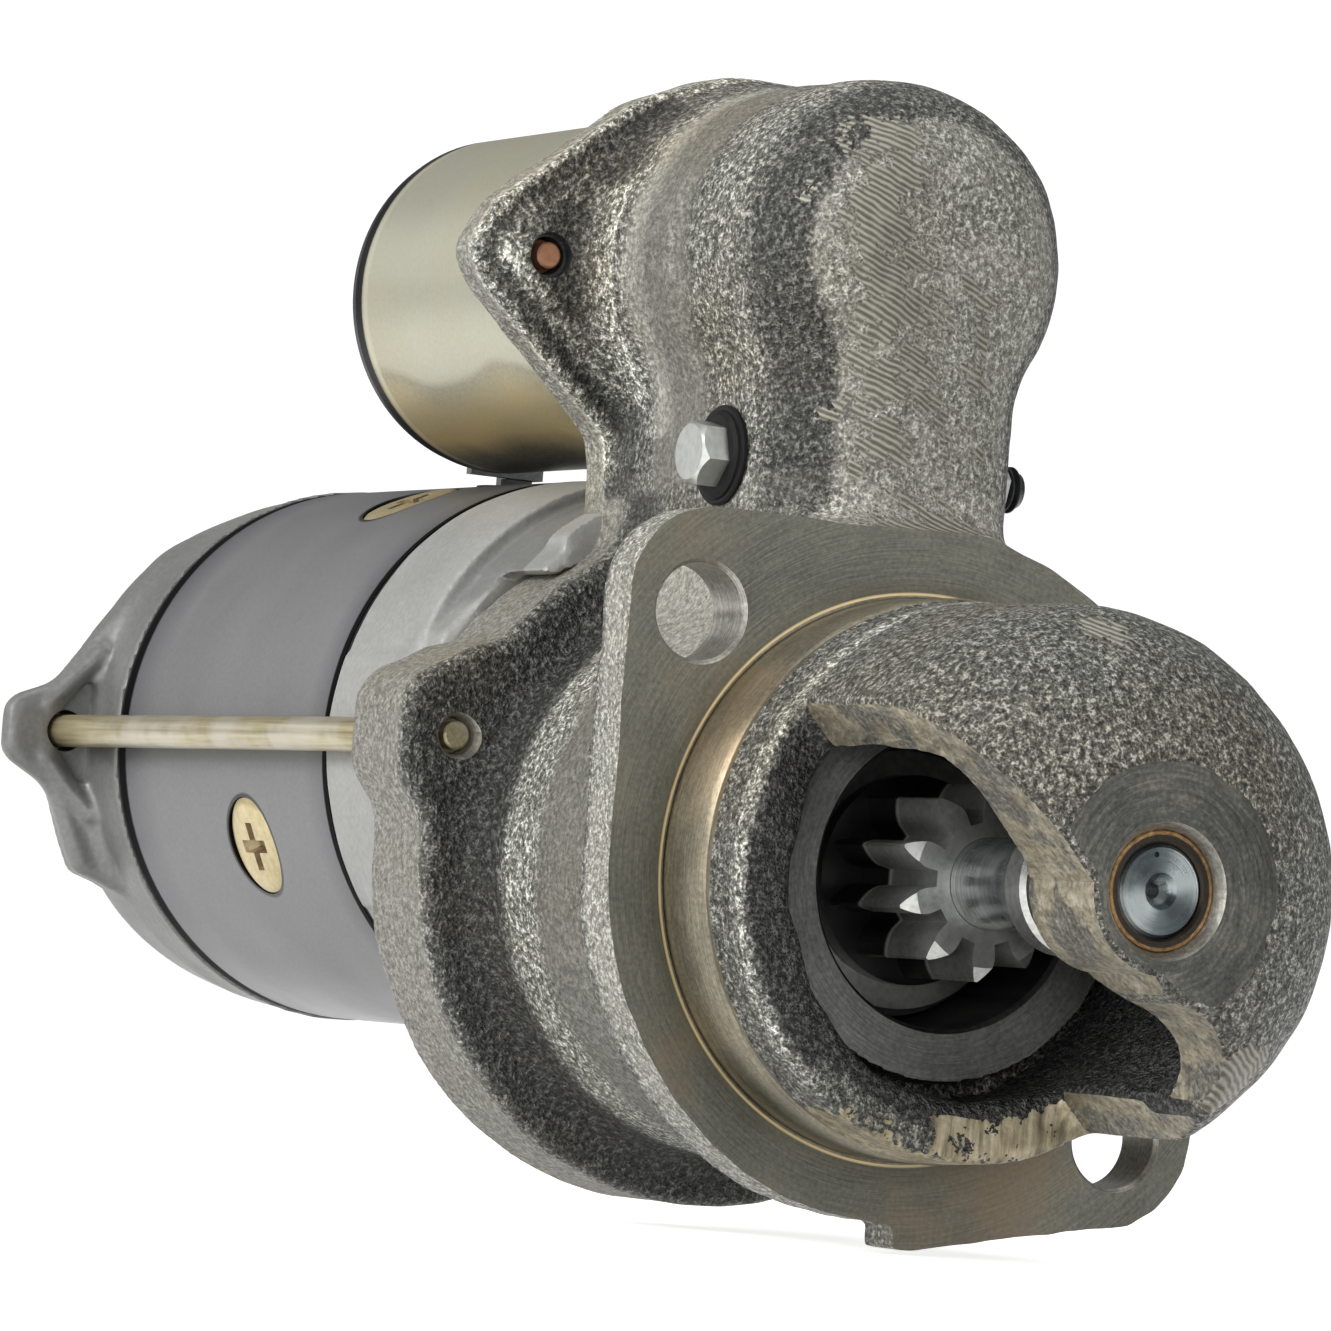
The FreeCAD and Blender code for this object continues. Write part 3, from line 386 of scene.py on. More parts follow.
def cast_iron():
    m = Mat("cast_iron_skin", Metallic=0.35, Specular_IOR_Level=0.5)
    fine = m.noise(2300, 2.0, 0.6)
    mid = m.noise(1000, 2.0, 0.6)
    mott = m.noise(110, 3.0, 0.6)
    stain = m.noise(22, 3.0, 0.55)
    grain = m.math("MULTIPLY_ADD", fine, 0.42, m.math("MULTIPLY", mid, 0.58))
    rough_c = m.ramp(grain, [(0.37, (0.018, 0.0185, 0.0157)), (0.45, (0.068, 0.0685, 0.058)), (0.53, (0.160, 0.160, 0.140)), (0.62, (0.50, 0.50, 0.455))])
    fine_c = m.ramp(grain, [(0.36, (0.100, 0.097, 0.082)), (0.50, (0.185, 0.180, 0.155)), (0.64, (0.315, 0.309, 0.272))])
    sm = m.attr("smooth")
    sm2 = m.range(m.math("ADD", sm, m.range(mott, 0.35, 0.65, -0.18, 0.18)), 0.1, 0.9, 0.0, 1.0)
    col = m.mix(sm2, rough_c, fine_c)
    warm = m.range(stain, 0.48, 0.66, 0.0, 0.42)
    col = m.mix(warm, col, m.mix(1.0, col, (1.10, 0.94, 0.74), "MULTIPLY"))
    # painted light: a per-vertex factor multiplies the colour, painted highlight bands where it is above 1 and painted
    # shade bands where it is below 1
    painted_light_shade = m.attr("painted_light_shade")
    tn = m.node("ShaderNodeCombineXYZ")
    for k in range(3):
        m.link(painted_light_shade, tn.inputs[k])
    col = m.mix(1.0, col, tn.outputs[0], "MULTIPLY")
    # painted shade: the dark attribute blends the colour to near black in hollows, bores and on the shaded side of the
    # window lip
    dark = m.attr("dark")
    col = m.mix(dark, col, m.mix(m.range(grain, 0.46, 0.62, 0.0, 1.0), (0.010, 0.010, 0.010), (0.13, 0.128, 0.12)))
    g0 = m.attr("grind")
    edge = m.math("ADD", g0, m.range(m.math("ADD", m.math("MULTIPLY", mid, 0.55), m.math("MULTIPLY", m.noise(190, 3.0, 0.6), 0.95)), 0.63, 0.87, -0.42, 0.42))
    g = m.range(edge, 0.48, 0.52, 0.0, 1.0)
    lines = m.node("ShaderNodeTexWave", wave_type="BANDS", bands_direction="Z", wave_profile="SIN")
    lines.inputs["Scale"].default_value = 310.0
    lines.inputs["Distortion"].default_value = 6.5
    lines.inputs["Detail"].default_value = 2.0
    lines.inputs["Detail Scale"].default_value = 0.35
    lines.inputs["Detail Roughness"].default_value = 0.6
    m.link(m.coord((1, 1, 1), (0.42, 0.0, 0.0)), lines.inputs["Vector"])
    lf = m.mix(m.attr("lines"), (0.5, 0.5, 0.5), lines.outputs["Fac"])
    streak = m.noise(700, 3.0, 0.65, m.coord((1, 1, 0.06)))
    flat = m.ramp(m.math("MULTIPLY_ADD", streak, 0.6, m.math("MULTIPLY", m.noise(160, 3.0, 0.6), 0.4)), [(0.38, (0.14, 0.117, 0.073)), (0.5, (0.38, 0.32, 0.205)), (0.62, (0.62, 0.55, 0.40))])
    gcol = m.ramp(m.math("MULTIPLY_ADD", lf, 0.46, m.math("MULTIPLY", m.noise(420, 3.0, 0.6), 0.54)), [(0.30, (0.105, 0.098, 0.076)), (0.50, (0.225, 0.212, 0.172)), (0.70, (0.36, 0.345, 0.285))])
    gcol = m.mix(m.attr("lines"), flat, gcol)
    col = m.mix(g, col, gcol)
    rough = m.math("ADD", m.range(grain, 0.38, 0.62, 0.62, 0.40), m.math("MULTIPLY", sm2, 0.06))
    h = m.math("ADD", m.math("MULTIPLY_ADD", mid, 0.5, m.math("MULTIPLY", fine, 0.22)), m.math("MULTIPLY", m.noise(560, 2.0, 0.55), 0.55))
    strength = m.math("MULTIPLY", m.math("SUBTRACT", 1.0, m.math("MULTIPLY", sm2, 0.68)), m.math("SUBTRACT", 1.0, m.math("MULTIPLY", g, 0.9)))
    n1 = m.bump(h, 0.0024, strength)
    n2 = m.bump(lf, 0.00014, g, n1)
    return m.out(col, rough, n2)

def machined(name, lo, mid_c, hi, rough=0.38, metal=0.75, ring=None, scale=240.0, tint=None, bump=0.00005):
    """Turned or faced surface: fine tool rings about the X axis, stains on top."""
    m = Mat(name, Metallic=metal, Specular_IOR_Level=0.5)
    s = m.sep()
    r = m.math("SQRT", m.math("ADD", m.math("POWER", s[1], 2.0), m.math("POWER", s[2], 2.0)))
    src = s[0] if ring == "x" else r
    comb = m.node("ShaderNodeCombineXYZ")
    m.link(m.math("MULTIPLY", src, 12.0), comb.inputs[0])
    m.link(m.math("MULTIPLY", m.math("ARCTAN2", s[1], s[2]), 0.02), comb.inputs[1])
    lines = m.noise(scale, 3.0, 0.7, comb.outputs[0])
    stain = m.noise(55, 4.0, 0.6)
    fine = m.noise(1300, 2.0, 0.6)
    f = m.math("ADD", m.math("MULTIPLY", lines, 0.4), m.math("ADD", m.math("MULTIPLY", stain, 0.3), m.math("MULTIPLY", fine, 0.3)))
    col = m.ramp(f, [(0.38, lo), (0.5, mid_c), (0.62, hi)])
    if tint:
        col = m.mix(m.range(m.noise(28, 3.0, 0.6), 0.5, 0.68, 0.0, 0.5), col, tint)
    ro = m.range(stain, 0.3, 0.7, rough * 0.8, rough * 1.25)
    return m.out(col, ro, m.bump(lines, bump))

def plain(name, lo, hi, rough=0.4, metal=0.8, scale=700.0, stain=45.0, bump=0.00003, tint=None, mix=0.45):
    """Even surface with fine grain, slow stains and a little unevenness of gloss."""
    m = Mat(name, Metallic=metal, Specular_IOR_Level=0.5)
    fine = m.noise(scale, 3.0, 0.6)
    slow = m.noise(stain, 3.0, 0.55)
    col = m.ramp(m.math("ADD", m.math("MULTIPLY", fine, mix), m.math("MULTIPLY", slow, 1.0 - mix)), [(0.38, lo), (0.62, hi)])
    if tint:
        col = m.mix(m.range(m.noise(stain * 0.55, 3.0, 0.6), 0.48, 0.66, 0.0, 0.65), col, tint)
    ro = m.range(m.noise(stain * 1.8, 2.0, 0.5), 0.3, 0.7, rough * 0.85, min(rough * 1.2, 0.95))
    return m.out(col, ro, m.bump(fine, bump))

def drawn(name, lo, hi, rough=0.3, metal=0.85, tint=None, stretch=0.03, scale=1500.0):
    """Bar stock: streaks run along X."""
    m = Mat(name, Metallic=metal, Specular_IOR_Level=0.5)
    v = m.coord((stretch, 1, 1))
    st = m.noise(scale, 3.0, 0.6, v)
    slow = m.noise(38, 3.0, 0.6)
    col = m.ramp(m.math("MULTIPLY_ADD", st, 0.6, m.math("MULTIPLY", slow, 0.4)), [(0.38, lo), (0.62, hi)])
    if tint:
        col = m.mix(m.range(m.noise(60, 3.0, 0.6), 0.47, 0.63, 0.0, 0.7), col, tint)
    ro = m.range(slow, 0.3, 0.7, rough * 0.8, rough * 1.3)
    return m.out(col, ro, m.bump(st, 0.00004))

POLES = (-23.7, 66.3, 156.3, 246.3)

def frame_paint():
    """Grey paint over the tube. Painted shade: darker bands near both ends, darker along the top, and black where the
    screw counterbores go below its skin.
    """
    m = Mat("field_frame_paint", Metallic=0.25, Specular_IOR_Level=0.5)
    s = m.sep()
    r = m.math("SQRT", m.math("ADD", m.math("POWER", s[1], 2.0), m.math("POWER", m.math("SUBTRACT", s[2], MZ / 1000.0), 2.0)))
    fine = m.noise(1500, 2.0, 0.6)
    slow = m.noise(30, 3.0, 0.55, m.coord((1, 1, 0.4)))
    col = m.ramp(m.math("MULTIPLY_ADD", fine, 0.4, m.math("MULTIPLY", slow, 0.6)), [(0.38, (0.150, 0.150, 0.153)), (0.62, (0.200, 0.200, 0.202))])
    specks = m.range(m.voro(160), 0.0, 0.06, 0.0, 1.0)
    col = m.mix(m.math("SUBTRACT", 1.0, specks), col, (0.12, 0.12, 0.12))
    shade = m.math("MAXIMUM", m.range(s[0], -0.130, -0.1215, 0.0, 1.0), m.range(s[0], -0.2060, -0.1940, 1.0, 0.0))
    col = m.mix(m.math("MULTIPLY", shade, 0.75), col, (0.075, 0.076, 0.086))
    # painted shade: darker along the top
    top = m.range(s[2], 0.052, 0.066, 0.0, 0.42)
    col = m.mix(top, col, (0.10, 0.10, 0.105))
    ends = m.math("MAXIMUM", m.range(s[0], -0.1229, -0.1224, 0.0, 1.0), m.range(s[0], -0.2062, -0.2054, 1.0, 0.0))
    col = m.mix(ends, col, (0.005, 0.005, 0.005))
    # painted shade: black on the counterbore walls below the skin
    below = m.range(r, 0.04905, 0.0493, 1.0, 0.0)
    col = m.mix(below, col, (0.006, 0.006, 0.006))
    for ang in POLES:
        ca, sa = math.cos(math.radians(ang)), math.sin(math.radians(ang))
        off = m.node("ShaderNodeVectorMath", operation="SUBTRACT")
        m.link(m.tc.outputs["Object"], off.inputs[0])
        off.inputs[1].default_value = (-0.156, 0.0, MZ / 1000.0)
        cr = m.node("ShaderNodeVectorMath", operation="CROSS_PRODUCT")
        m.link(off.outputs[0], cr.inputs[0])
        cr.inputs[1].default_value = (0.0, -ca, sa)
        ln = m.node("ShaderNodeVectorMath", operation="LENGTH")
        m.link(cr.outputs[0], ln.inputs[0])
        dt = m.node("ShaderNodeVectorMath", operation="DOT_PRODUCT")
        m.link(off.outputs[0], dt.inputs[0])
        dt.inputs[1].default_value = (0.0, -ca, sa)
        # painted shade: a black ring round each screw head in its counterbore
        near = m.math("MULTIPLY", m.range(ln.outputs["Value"], 0.0097, 0.0101, 1.0, 0.0), m.range(dt.outputs["Value"], 0.0, 0.01, 0.0, 1.0))
        col = m.mix(near, col, (0.008, 0.008, 0.008))
    blk = m.math("MAXIMUM", ends, below)
    ro = m.math("MAXIMUM", m.range(slow, 0.35, 0.65, 0.34, 0.46), m.math("MULTIPLY", blk, 0.8))
    return m.out(col, ro, m.bump(fine, 0.00003), m.math("MULTIPLY_ADD", blk, 0.75, 0.25))

def can_plate():
    """Olive-gold plated can with painted light by angle round its axis: a pale painted highlight on the side, a gold
    painted reflection lower down, painted shade underneath and towards the top.
    """
    m = Mat("solenoid_plated", Metallic=0.55, Specular_IOR_Level=0.5)
    s = m.sep()
    a = m.math("ARCTAN2", m.math("SUBTRACT", s[2], SZ / 1000.0), m.math("ABSOLUTE", s[1]))
    slow = m.noise(26, 3.0, 0.55)
    wob = m.math("ADD", a, m.range(m.noise(34, 2.0, 0.5), 0.3, 0.7, -0.10, 0.10))
    fine = m.noise(1500, 2.0, 0.6)
    c = m.ramp(m.range(wob, -1.6, 1.6, 0.0, 1.0), [(0.05, (0.030, 0.028, 0.020)), (0.12, (0.110, 0.092, 0.048)), (0.18, (0.50, 0.39, 0.175)), (0.26, (0.44, 0.365, 0.195)), (0.315, (0.27, 0.25, 0.165)),
                                                   (0.335, (0.41, 0.40, 0.305)), (0.62, (0.45, 0.445, 0.35)), (0.86, (0.36, 0.345, 0.255)), (1.0, (0.30, 0.285, 0.21))])
    c = m.mix(m.range(slow, 0.42, 0.66, 0.0, 0.30), c, m.mix(1.0, c, (1.0, 0.86, 0.60), "MULTIPLY"))
    c = m.mix(m.range(fine, 0.3, 0.7, 0.0, 0.22), c, (0.62, 0.60, 0.50))
    end = m.range(s[0], -0.1612, -0.1606, 1.0, 0.0)
    c = m.mix(end, c, (0.004, 0.004, 0.004))
    lip = m.math("MULTIPLY", m.range(s[0], -0.1604, -0.1600, 0.0, 1.0), m.range(s[0], -0.1590, -0.1584, 1.0, 0.0))
    c = m.mix(m.math("MULTIPLY", lip, 0.45), c, (0.62, 0.60, 0.46))
    return m.out(c, m.range(slow, 0.3, 0.7, 0.34, 0.46), m.bump(fine, 0.00003), m.math("MULTIPLY_ADD", end, 0.45, 0.55))

MATS = {}
MATS["cast"] = cast_iron()
MATS["face"] = machined("flange_faced", (0.082, 0.083, 0.066), (0.138, 0.138, 0.110), (0.215, 0.208, 0.165), 0.44, 0.40, tint=(0.215, 0.145, 0.078))
def gold_line():
    m = MATS["face"]
    t = m.node_tree
    p = t.nodes["Principled BSDF"]
    src = p.inputs["Base Color"].links[0].from_socket
    w = Mat.__new__(Mat)
    w.m, w.t, w.p = m, t, p
    w.tc = t.nodes["Texture Coordinate"]
    s = w.sep()
    r = w.math("SQRT", w.math("ADD", w.math("POWER", s[1], 2.0), w.math("POWER", s[2], 2.0)))
    # rust-gold colour and painted highlight in one ring at the pilot's root; a darker brown band just outside it
    k = w.math("MULTIPLY", w.range(r, 0.04630, 0.04645, 0.0, 1.0), w.range(r, 0.04690, 0.04715, 1.0, 0.0))
    near = w.range(r, 0.0468, 0.0500, 0.5, 0.0)
    col = w.mix(near, src, (0.10, 0.085, 0.05))
    col = w.mix(w.math("MULTIPLY", k, 0.9), col, (0.78, 0.62, 0.34))
    w.link(col, p.inputs["Base Color"])
gold_line()
MATS["pilot"] = machined("pilot_turned", (0.115, 0.103, 0.070), (0.20, 0.182, 0.132), (0.33, 0.295, 0.215), 0.34, 0.6, ring="x", tint=(0.30, 0.19, 0.08))
MATS["spot"] = machined("spot_faced", (0.030, 0.031, 0.027), (0.074, 0.074, 0.064), (0.165, 0.160, 0.135), 0.38, 0.5, scale=105.0, bump=0.00012)
def broken():
    m = Mat("window_cut", Metallic=0.3, Specular_IOR_Level=0.5)
    fine = m.noise(1100, 3.0, 0.62)
    mid = m.noise(330, 3.0, 0.6)
    patch = m.noise(95, 4.0, 0.62)
    grey = m.ramp(fine, [(0.36, (0.052, 0.050, 0.043)), (0.5, (0.135, 0.130, 0.112)), (0.64, (0.27, 0.262, 0.232))])
    tan = m.ramp(m.math("MULTIPLY_ADD", fine, 0.5, m.math("MULTIPLY", mid, 0.5)), [(0.38, (0.180, 0.156, 0.105)), (0.5, (0.340, 0.302, 0.218)), (0.64, (0.56, 0.51, 0.395))])
    k = m.range(patch, 0.50, 0.57, 1.0, 0.15)
    col = m.mix(k, grey, tan)
    n1 = m.bump(mid, 0.0011, m.math("SUBTRACT", 1.0, m.math("MULTIPLY", k, 0.6)))
    return m.out(col, m.range(fine, 0.35, 0.65, 0.6, 0.42), m.bump(fine, 0.0004, 0.7, n1))
MATS["broken"] = broken()
MATS["ground"] = machined("ground_skin", (0.125, 0.112, 0.080), (0.205, 0.187, 0.143), (0.33, 0.305, 0.245), 0.42, 0.45, ring="x", scale=60.0)
MATS["bore"] = machined("bored_hole", (0.20, 0.195, 0.17), (0.36, 0.35, 0.31), (0.60, 0.58, 0.50), 0.36, 0.7, ring="x")
# painted shade: bore walls inside the housings are near black
MATS["inner"] = machined("bore_painted_shade", (0.018, 0.018, 0.018), (0.04, 0.04, 0.04), (0.075, 0.075, 0.072), 0.42, 0.5)
MATS["web"] = machined("web_annulus", (0.115, 0.115, 0.112), (0.20, 0.20, 0.194), (0.32, 0.32, 0.305), 0.42, 0.35)
MATS["alu"] = plain("aluminium_cast", (0.27, 0.27, 0.252), (0.37, 0.37, 0.35), 0.55, 0.35, 900.0, 30.0, 0.00010, tint=(0.25, 0.245, 0.215))
def centre_alu():
    m = Mat("aluminium_centre", Metallic=0.3, Specular_IOR_Level=0.5)
    fine = m.noise(1000, 3.0, 0.6)
    slow = m.noise(34, 3.0, 0.55)
    col = m.ramp(m.math("ADD", m.math("MULTIPLY", fine, 0.45), m.math("MULTIPLY", slow, 0.55)), [(0.38, (0.325, 0.325, 0.309)), (0.62, (0.43, 0.43, 0.413))])
    # painted light: a per-vertex factor multiplies the colour, painted shade below 1 and painted highlight above 1
    cmb = m.node("ShaderNodeCombineXYZ")
    for k in range(3):
        m.link(m.attr("painted_light_shade"), cmb.inputs[k])
    col = m.mix(1.0, col, cmb.outputs[0], "MULTIPLY")
    return m.out(col, m.range(slow, 0.3, 0.7, 0.46, 0.6), m.bump(fine, 0.00012))
MATS["alu_c"] = centre_alu()
MATS["alu_end"] = plain("aluminium_end", (0.17, 0.172, 0.166), (0.245, 0.246, 0.238), 0.46, 0.35, 900.0, 26.0, 0.00006)
MATS["paint"] = frame_paint()
MATS["can"] = can_plate()
MATS["black"] = plain("rubber_black", (0.008, 0.008, 0.008), (0.018, 0.018, 0.018), 0.55, 0.0)
MATS["black"].node_tree.nodes["Principled BSDF"].inputs["Specular IOR Level"].default_value = 0.12
MATS["plastic"] = plain("moulded_black", (0.012, 0.012, 0.013), (0.03, 0.03, 0.032), 0.42, 0.0)
MATS["zinc"] = drawn("zinc_yellow_rod", (0.26, 0.215, 0.115), (0.48, 0.42, 0.255), 0.32, 0.6, tint=(0.50, 0.47, 0.40))
MATS["zinc_head"] = plain("zinc_yellow_head", (0.42, 0.345, 0.175), (0.62, 0.52, 0.30), 0.38, 0.6)
# painted shade: a darker copy of the yellow zinc for the walls of the cross recess
MATS["recess"] = plain("recess_painted_shade", (0.16, 0.115, 0.06), (0.40, 0.31, 0.18), 0.34, 0.6)
MATS["bright"] = plain("plated_bright", (0.40, 0.41, 0.385), (0.56, 0.57, 0.54), 0.36, 0.75)
MATS["dark_steel"] = plain("black_oxide", (0.010, 0.011, 0.012), (0.030, 0.031, 0.033), 0.34, 0.5)
def pinion_mat():
    """Bright teeth in front; painted shade where they sit inside the web, near black at the rear, with a painted
    highlight line just in front of it.
    """
    m = Mat("pinion_steel", Metallic=0.7, Specular_IOR_Level=0.5)
    q = m.sep()
    fine = m.noise(900, 3.0, 0.6)
    slow = m.noise(60, 3.0, 0.55)
    c = m.ramp(m.math("MULTIPLY_ADD", fine, 0.4, m.math("MULTIPLY", slow, 0.6)), [(0.38, (0.37, 0.37, 0.35)), (0.62, (0.66, 0.66, 0.625))])
    r = m.math("SQRT", m.math("ADD", m.math("POWER", q[1], 2.0), m.math("POWER", q[2], 2.0)))
    # painted shade: darker towards the tooth roots
    c = m.mix(m.range(r, 0.0110, 0.0150, 0.30, 0.0), c, (0.055, 0.055, 0.052))
    # painted highlight: a bright line across the teeth
    line = m.math("MULTIPLY", m.range(q[0], 0.0097, 0.0100, 0.0, 1.0), m.range(q[0], 0.0105, 0.0109, 1.0, 0.0))
    c = m.mix(line, c, (0.80, 0.79, 0.74))
    # painted shade: near black behind the line, inside the web
    c = m.mix(m.range(q[0], 0.0093, 0.0098, 1.0, 0.0), c, (0.012, 0.012, 0.012))
    return m.out(c, m.range(slow, 0.3, 0.7, 0.26, 0.40), m.bump(fine, 0.00004))
MATS["pinion"] = pinion_mat()
MATS["gear"] = plain("gear_steel", (0.30, 0.30, 0.285), (0.55, 0.55, 0.53), 0.27, 0.85, 900.0, 60.0, 0.00004)
def shaft_mat():
    m = Mat("shaft_ground", Metallic=0.8, Specular_IOR_Level=0.5)
    q = m.sep()
    r = m.math("SQRT", m.math("ADD", m.math("POWER", q[1], 2.0), m.math("POWER", q[2], 2.0)))
    comb = m.node("ShaderNodeCombineXYZ")
    m.link(m.math("MULTIPLY", r, 12.0), comb.inputs[0])
    m.link(m.math("MULTIPLY", q[0], 6.0), comb.inputs[1])
    rings = m.noise(300, 3.0, 0.7, comb.outputs[0])
    slow = m.noise(190, 3.0, 0.6)
    f = m.math("MULTIPLY_ADD", rings, 0.5, m.math("MULTIPLY", slow, 0.5))
    side = m.ramp(f, [(0.38, (0.16, 0.175, 0.175)), (0.5, (0.27, 0.29, 0.29)), (0.62, (0.42, 0.44, 0.44))])
    # painted reflection on the turned end face: bright and near-black wedges by angle round the axis
    a = m.math("ARCTAN2", q[2], q[1])
    w = m.math("SINE", m.math("MULTIPLY_ADD", a, 2.0, 0.35))
    fan = m.math("ADD", m.range(w, -1.0, 1.0, 0.0, 0.62), m.math("MULTIPLY", f, 0.55))
    endc = m.ramp(fan, [(0.30, (0.055, 0.066, 0.068)), (0.55, (0.135, 0.16, 0.162)), (0.85, (0.42, 0.46, 0.46))])
    col = m.mix(m.range(q[0], 0.0752, 0.0756, 0.0, 1.0), side, endc)
    return m.out(col, m.range(slow, 0.3, 0.7, 0.24, 0.36), m.bump(rings, 0.00004))
MATS["shaft"] = shaft_mat()
MATS["bronze"] = machined("sintered_bronze", (0.075, 0.044, 0.018), (0.19, 0.112, 0.046), (0.36, 0.225, 0.11), 0.36, 0.75, scale=260.0)
def bush_gap():
    """Painted shade: near black on the inner part of the bush's face by its bore, copper colour outside it."""
    m = MATS["bronze"]
    t = m.node_tree
    p = t.nodes["Principled BSDF"]
    src = p.inputs["Base Color"].links[0].from_socket
    w = Mat.__new__(Mat)
    w.m, w.t, w.p = m, t, p
    w.tc = t.nodes["Texture Coordinate"]
    s = w.sep()
    r = w.math("SQRT", w.math("ADD", w.math("POWER", s[1], 2.0), w.math("POWER", s[2], 2.0)))
    w.link(w.mix(w.range(r, 0.00872, 0.00888, 0.93, 0.0), src, (0.012, 0.011, 0.010)), p.inputs["Base Color"])
bush_gap()
MATS["copper"] = plain("copper_bar", (0.40, 0.17, 0.075), (0.62, 0.29, 0.14), 0.32, 0.9)
MATS["winding"] = drawn("enamel_copper", (0.20, 0.062, 0.022), (0.36, 0.125, 0.045), 0.35, 0.6)
MATS["laminated"] = plain("laminated_steel", (0.10, 0.10, 0.10), (0.22, 0.22, 0.215), 0.45, 0.8)
MATS["steel"] = plain("steel_plain", (0.24, 0.24, 0.235), (0.40, 0.40, 0.39), 0.34, 0.85)
MATS["carbon"] = plain("carbon_brush", (0.020, 0.019, 0.018), (0.05, 0.048, 0.045), 0.6, 0.1)
MATS["strap"] = plain("lead_strap", (0.10, 0.105, 0.105), (0.20, 0.205, 0.20), 0.45, 0.5)
MATS["rust"] = plain("stud_tip", (0.30, 0.135, 0.075), (0.46, 0.235, 0.14), 0.5, 0.5)

def dress(node, mat):
    me = N[node].data
    me.materials.clear()
    me.materials.append(MATS[mat])

LOOKS = {
    "nose_bush": "bronze", "drive_shaft": "shaft", "pinion_gear": "pinion", "pinion_stop": "gear", "field_frame": "paint", "frame_seals": "black",
    "pole_screws": "zinc_head", "solenoid_can": "can", "solenoid_cap": "plastic", "solenoid_screws": "rust", "motor_lead": "strap", "lead_grommet": "black",
    "pivot_nut": "steel", "armature_shaft": "steel", "armature_core": "laminated", "armature_windings": "winding", "commutator": "copper",
    "pole_shoes": "laminated", "field_coils": "winding", "armature_front_bearing": "steel", "end_bearing": "steel", "shaft_bearing": "steel",
    "bearing_plate": "alu", "brush_holder": "plastic", "brushes": "carbon", "brush_springs": "steel", "clutch_shell": "steel", "shift_lever": "dark_steel",
    "solenoid_winding": "winding", "solenoid_core": "steel", "plunger": "bright", "spring_seat": "steel", "return_spring": "steel", "contact_disc": "copper",
    "terminal_studs": "copper", "terminal_nuts": "bright", "switch_terminal": "bright",
}
for k, v in LOOKS.items():
    if k in N:
        dress(k, v)
for k in N:
    if k not in LOOKS:
        dress(k, "steel")

# ---------------------------------------------------------------- drive housing
BOLT = (math.cos(math.radians(-43.0)) * 58.75, math.sin(math.radians(-43.0)) * 58.75)
WN, WT = (-0.74, -0.6726), (0.6726, -0.74)

def wpt(t, n):
    return (WT[0] * t + WN[0] * n, WT[1] * t + WN[1] * n)

def flange_outline():
    p = []
    top = 57.7 * math.sin(math.radians(81.0))
    p += [(-56.0, 0.0)]
    p += [(-56.0 + 15 - 15 * math.cos(math.radians(t)), top - 15 + 15 * math.sin(math.radians(t))) for t in range(0, 91, 10)]
    p += arc(0, 0, 57.7, 81.0, 0.0, 28)
    p += [(57.7, -39.5), (57.0, -43.9), (54.8, -47.9), (51.6, -51.3), (47.0, -53.7), (2.2, -60.6), (2.0, -55.96)]
    p += arc(0, 0, 56.0, -90.0 + 2.1, -180.0, 28)[1:-1]
    return p

PLATE = rounded([(-24, 40, 0), (-24, 71.0, 8), (-50.5, 95.6, 7), (-54.6, 101.5, 7), (-49, 110.8, 7), (-24.0, 131.0, 16), (0, 138.2, 30),
                 (24.0, 131.0, 16), (49, 110.8, 7), (54.6, 101.5, 7), (50.5, 95.6, 7), (24, 71.0, 8), (24, 40, 0)])

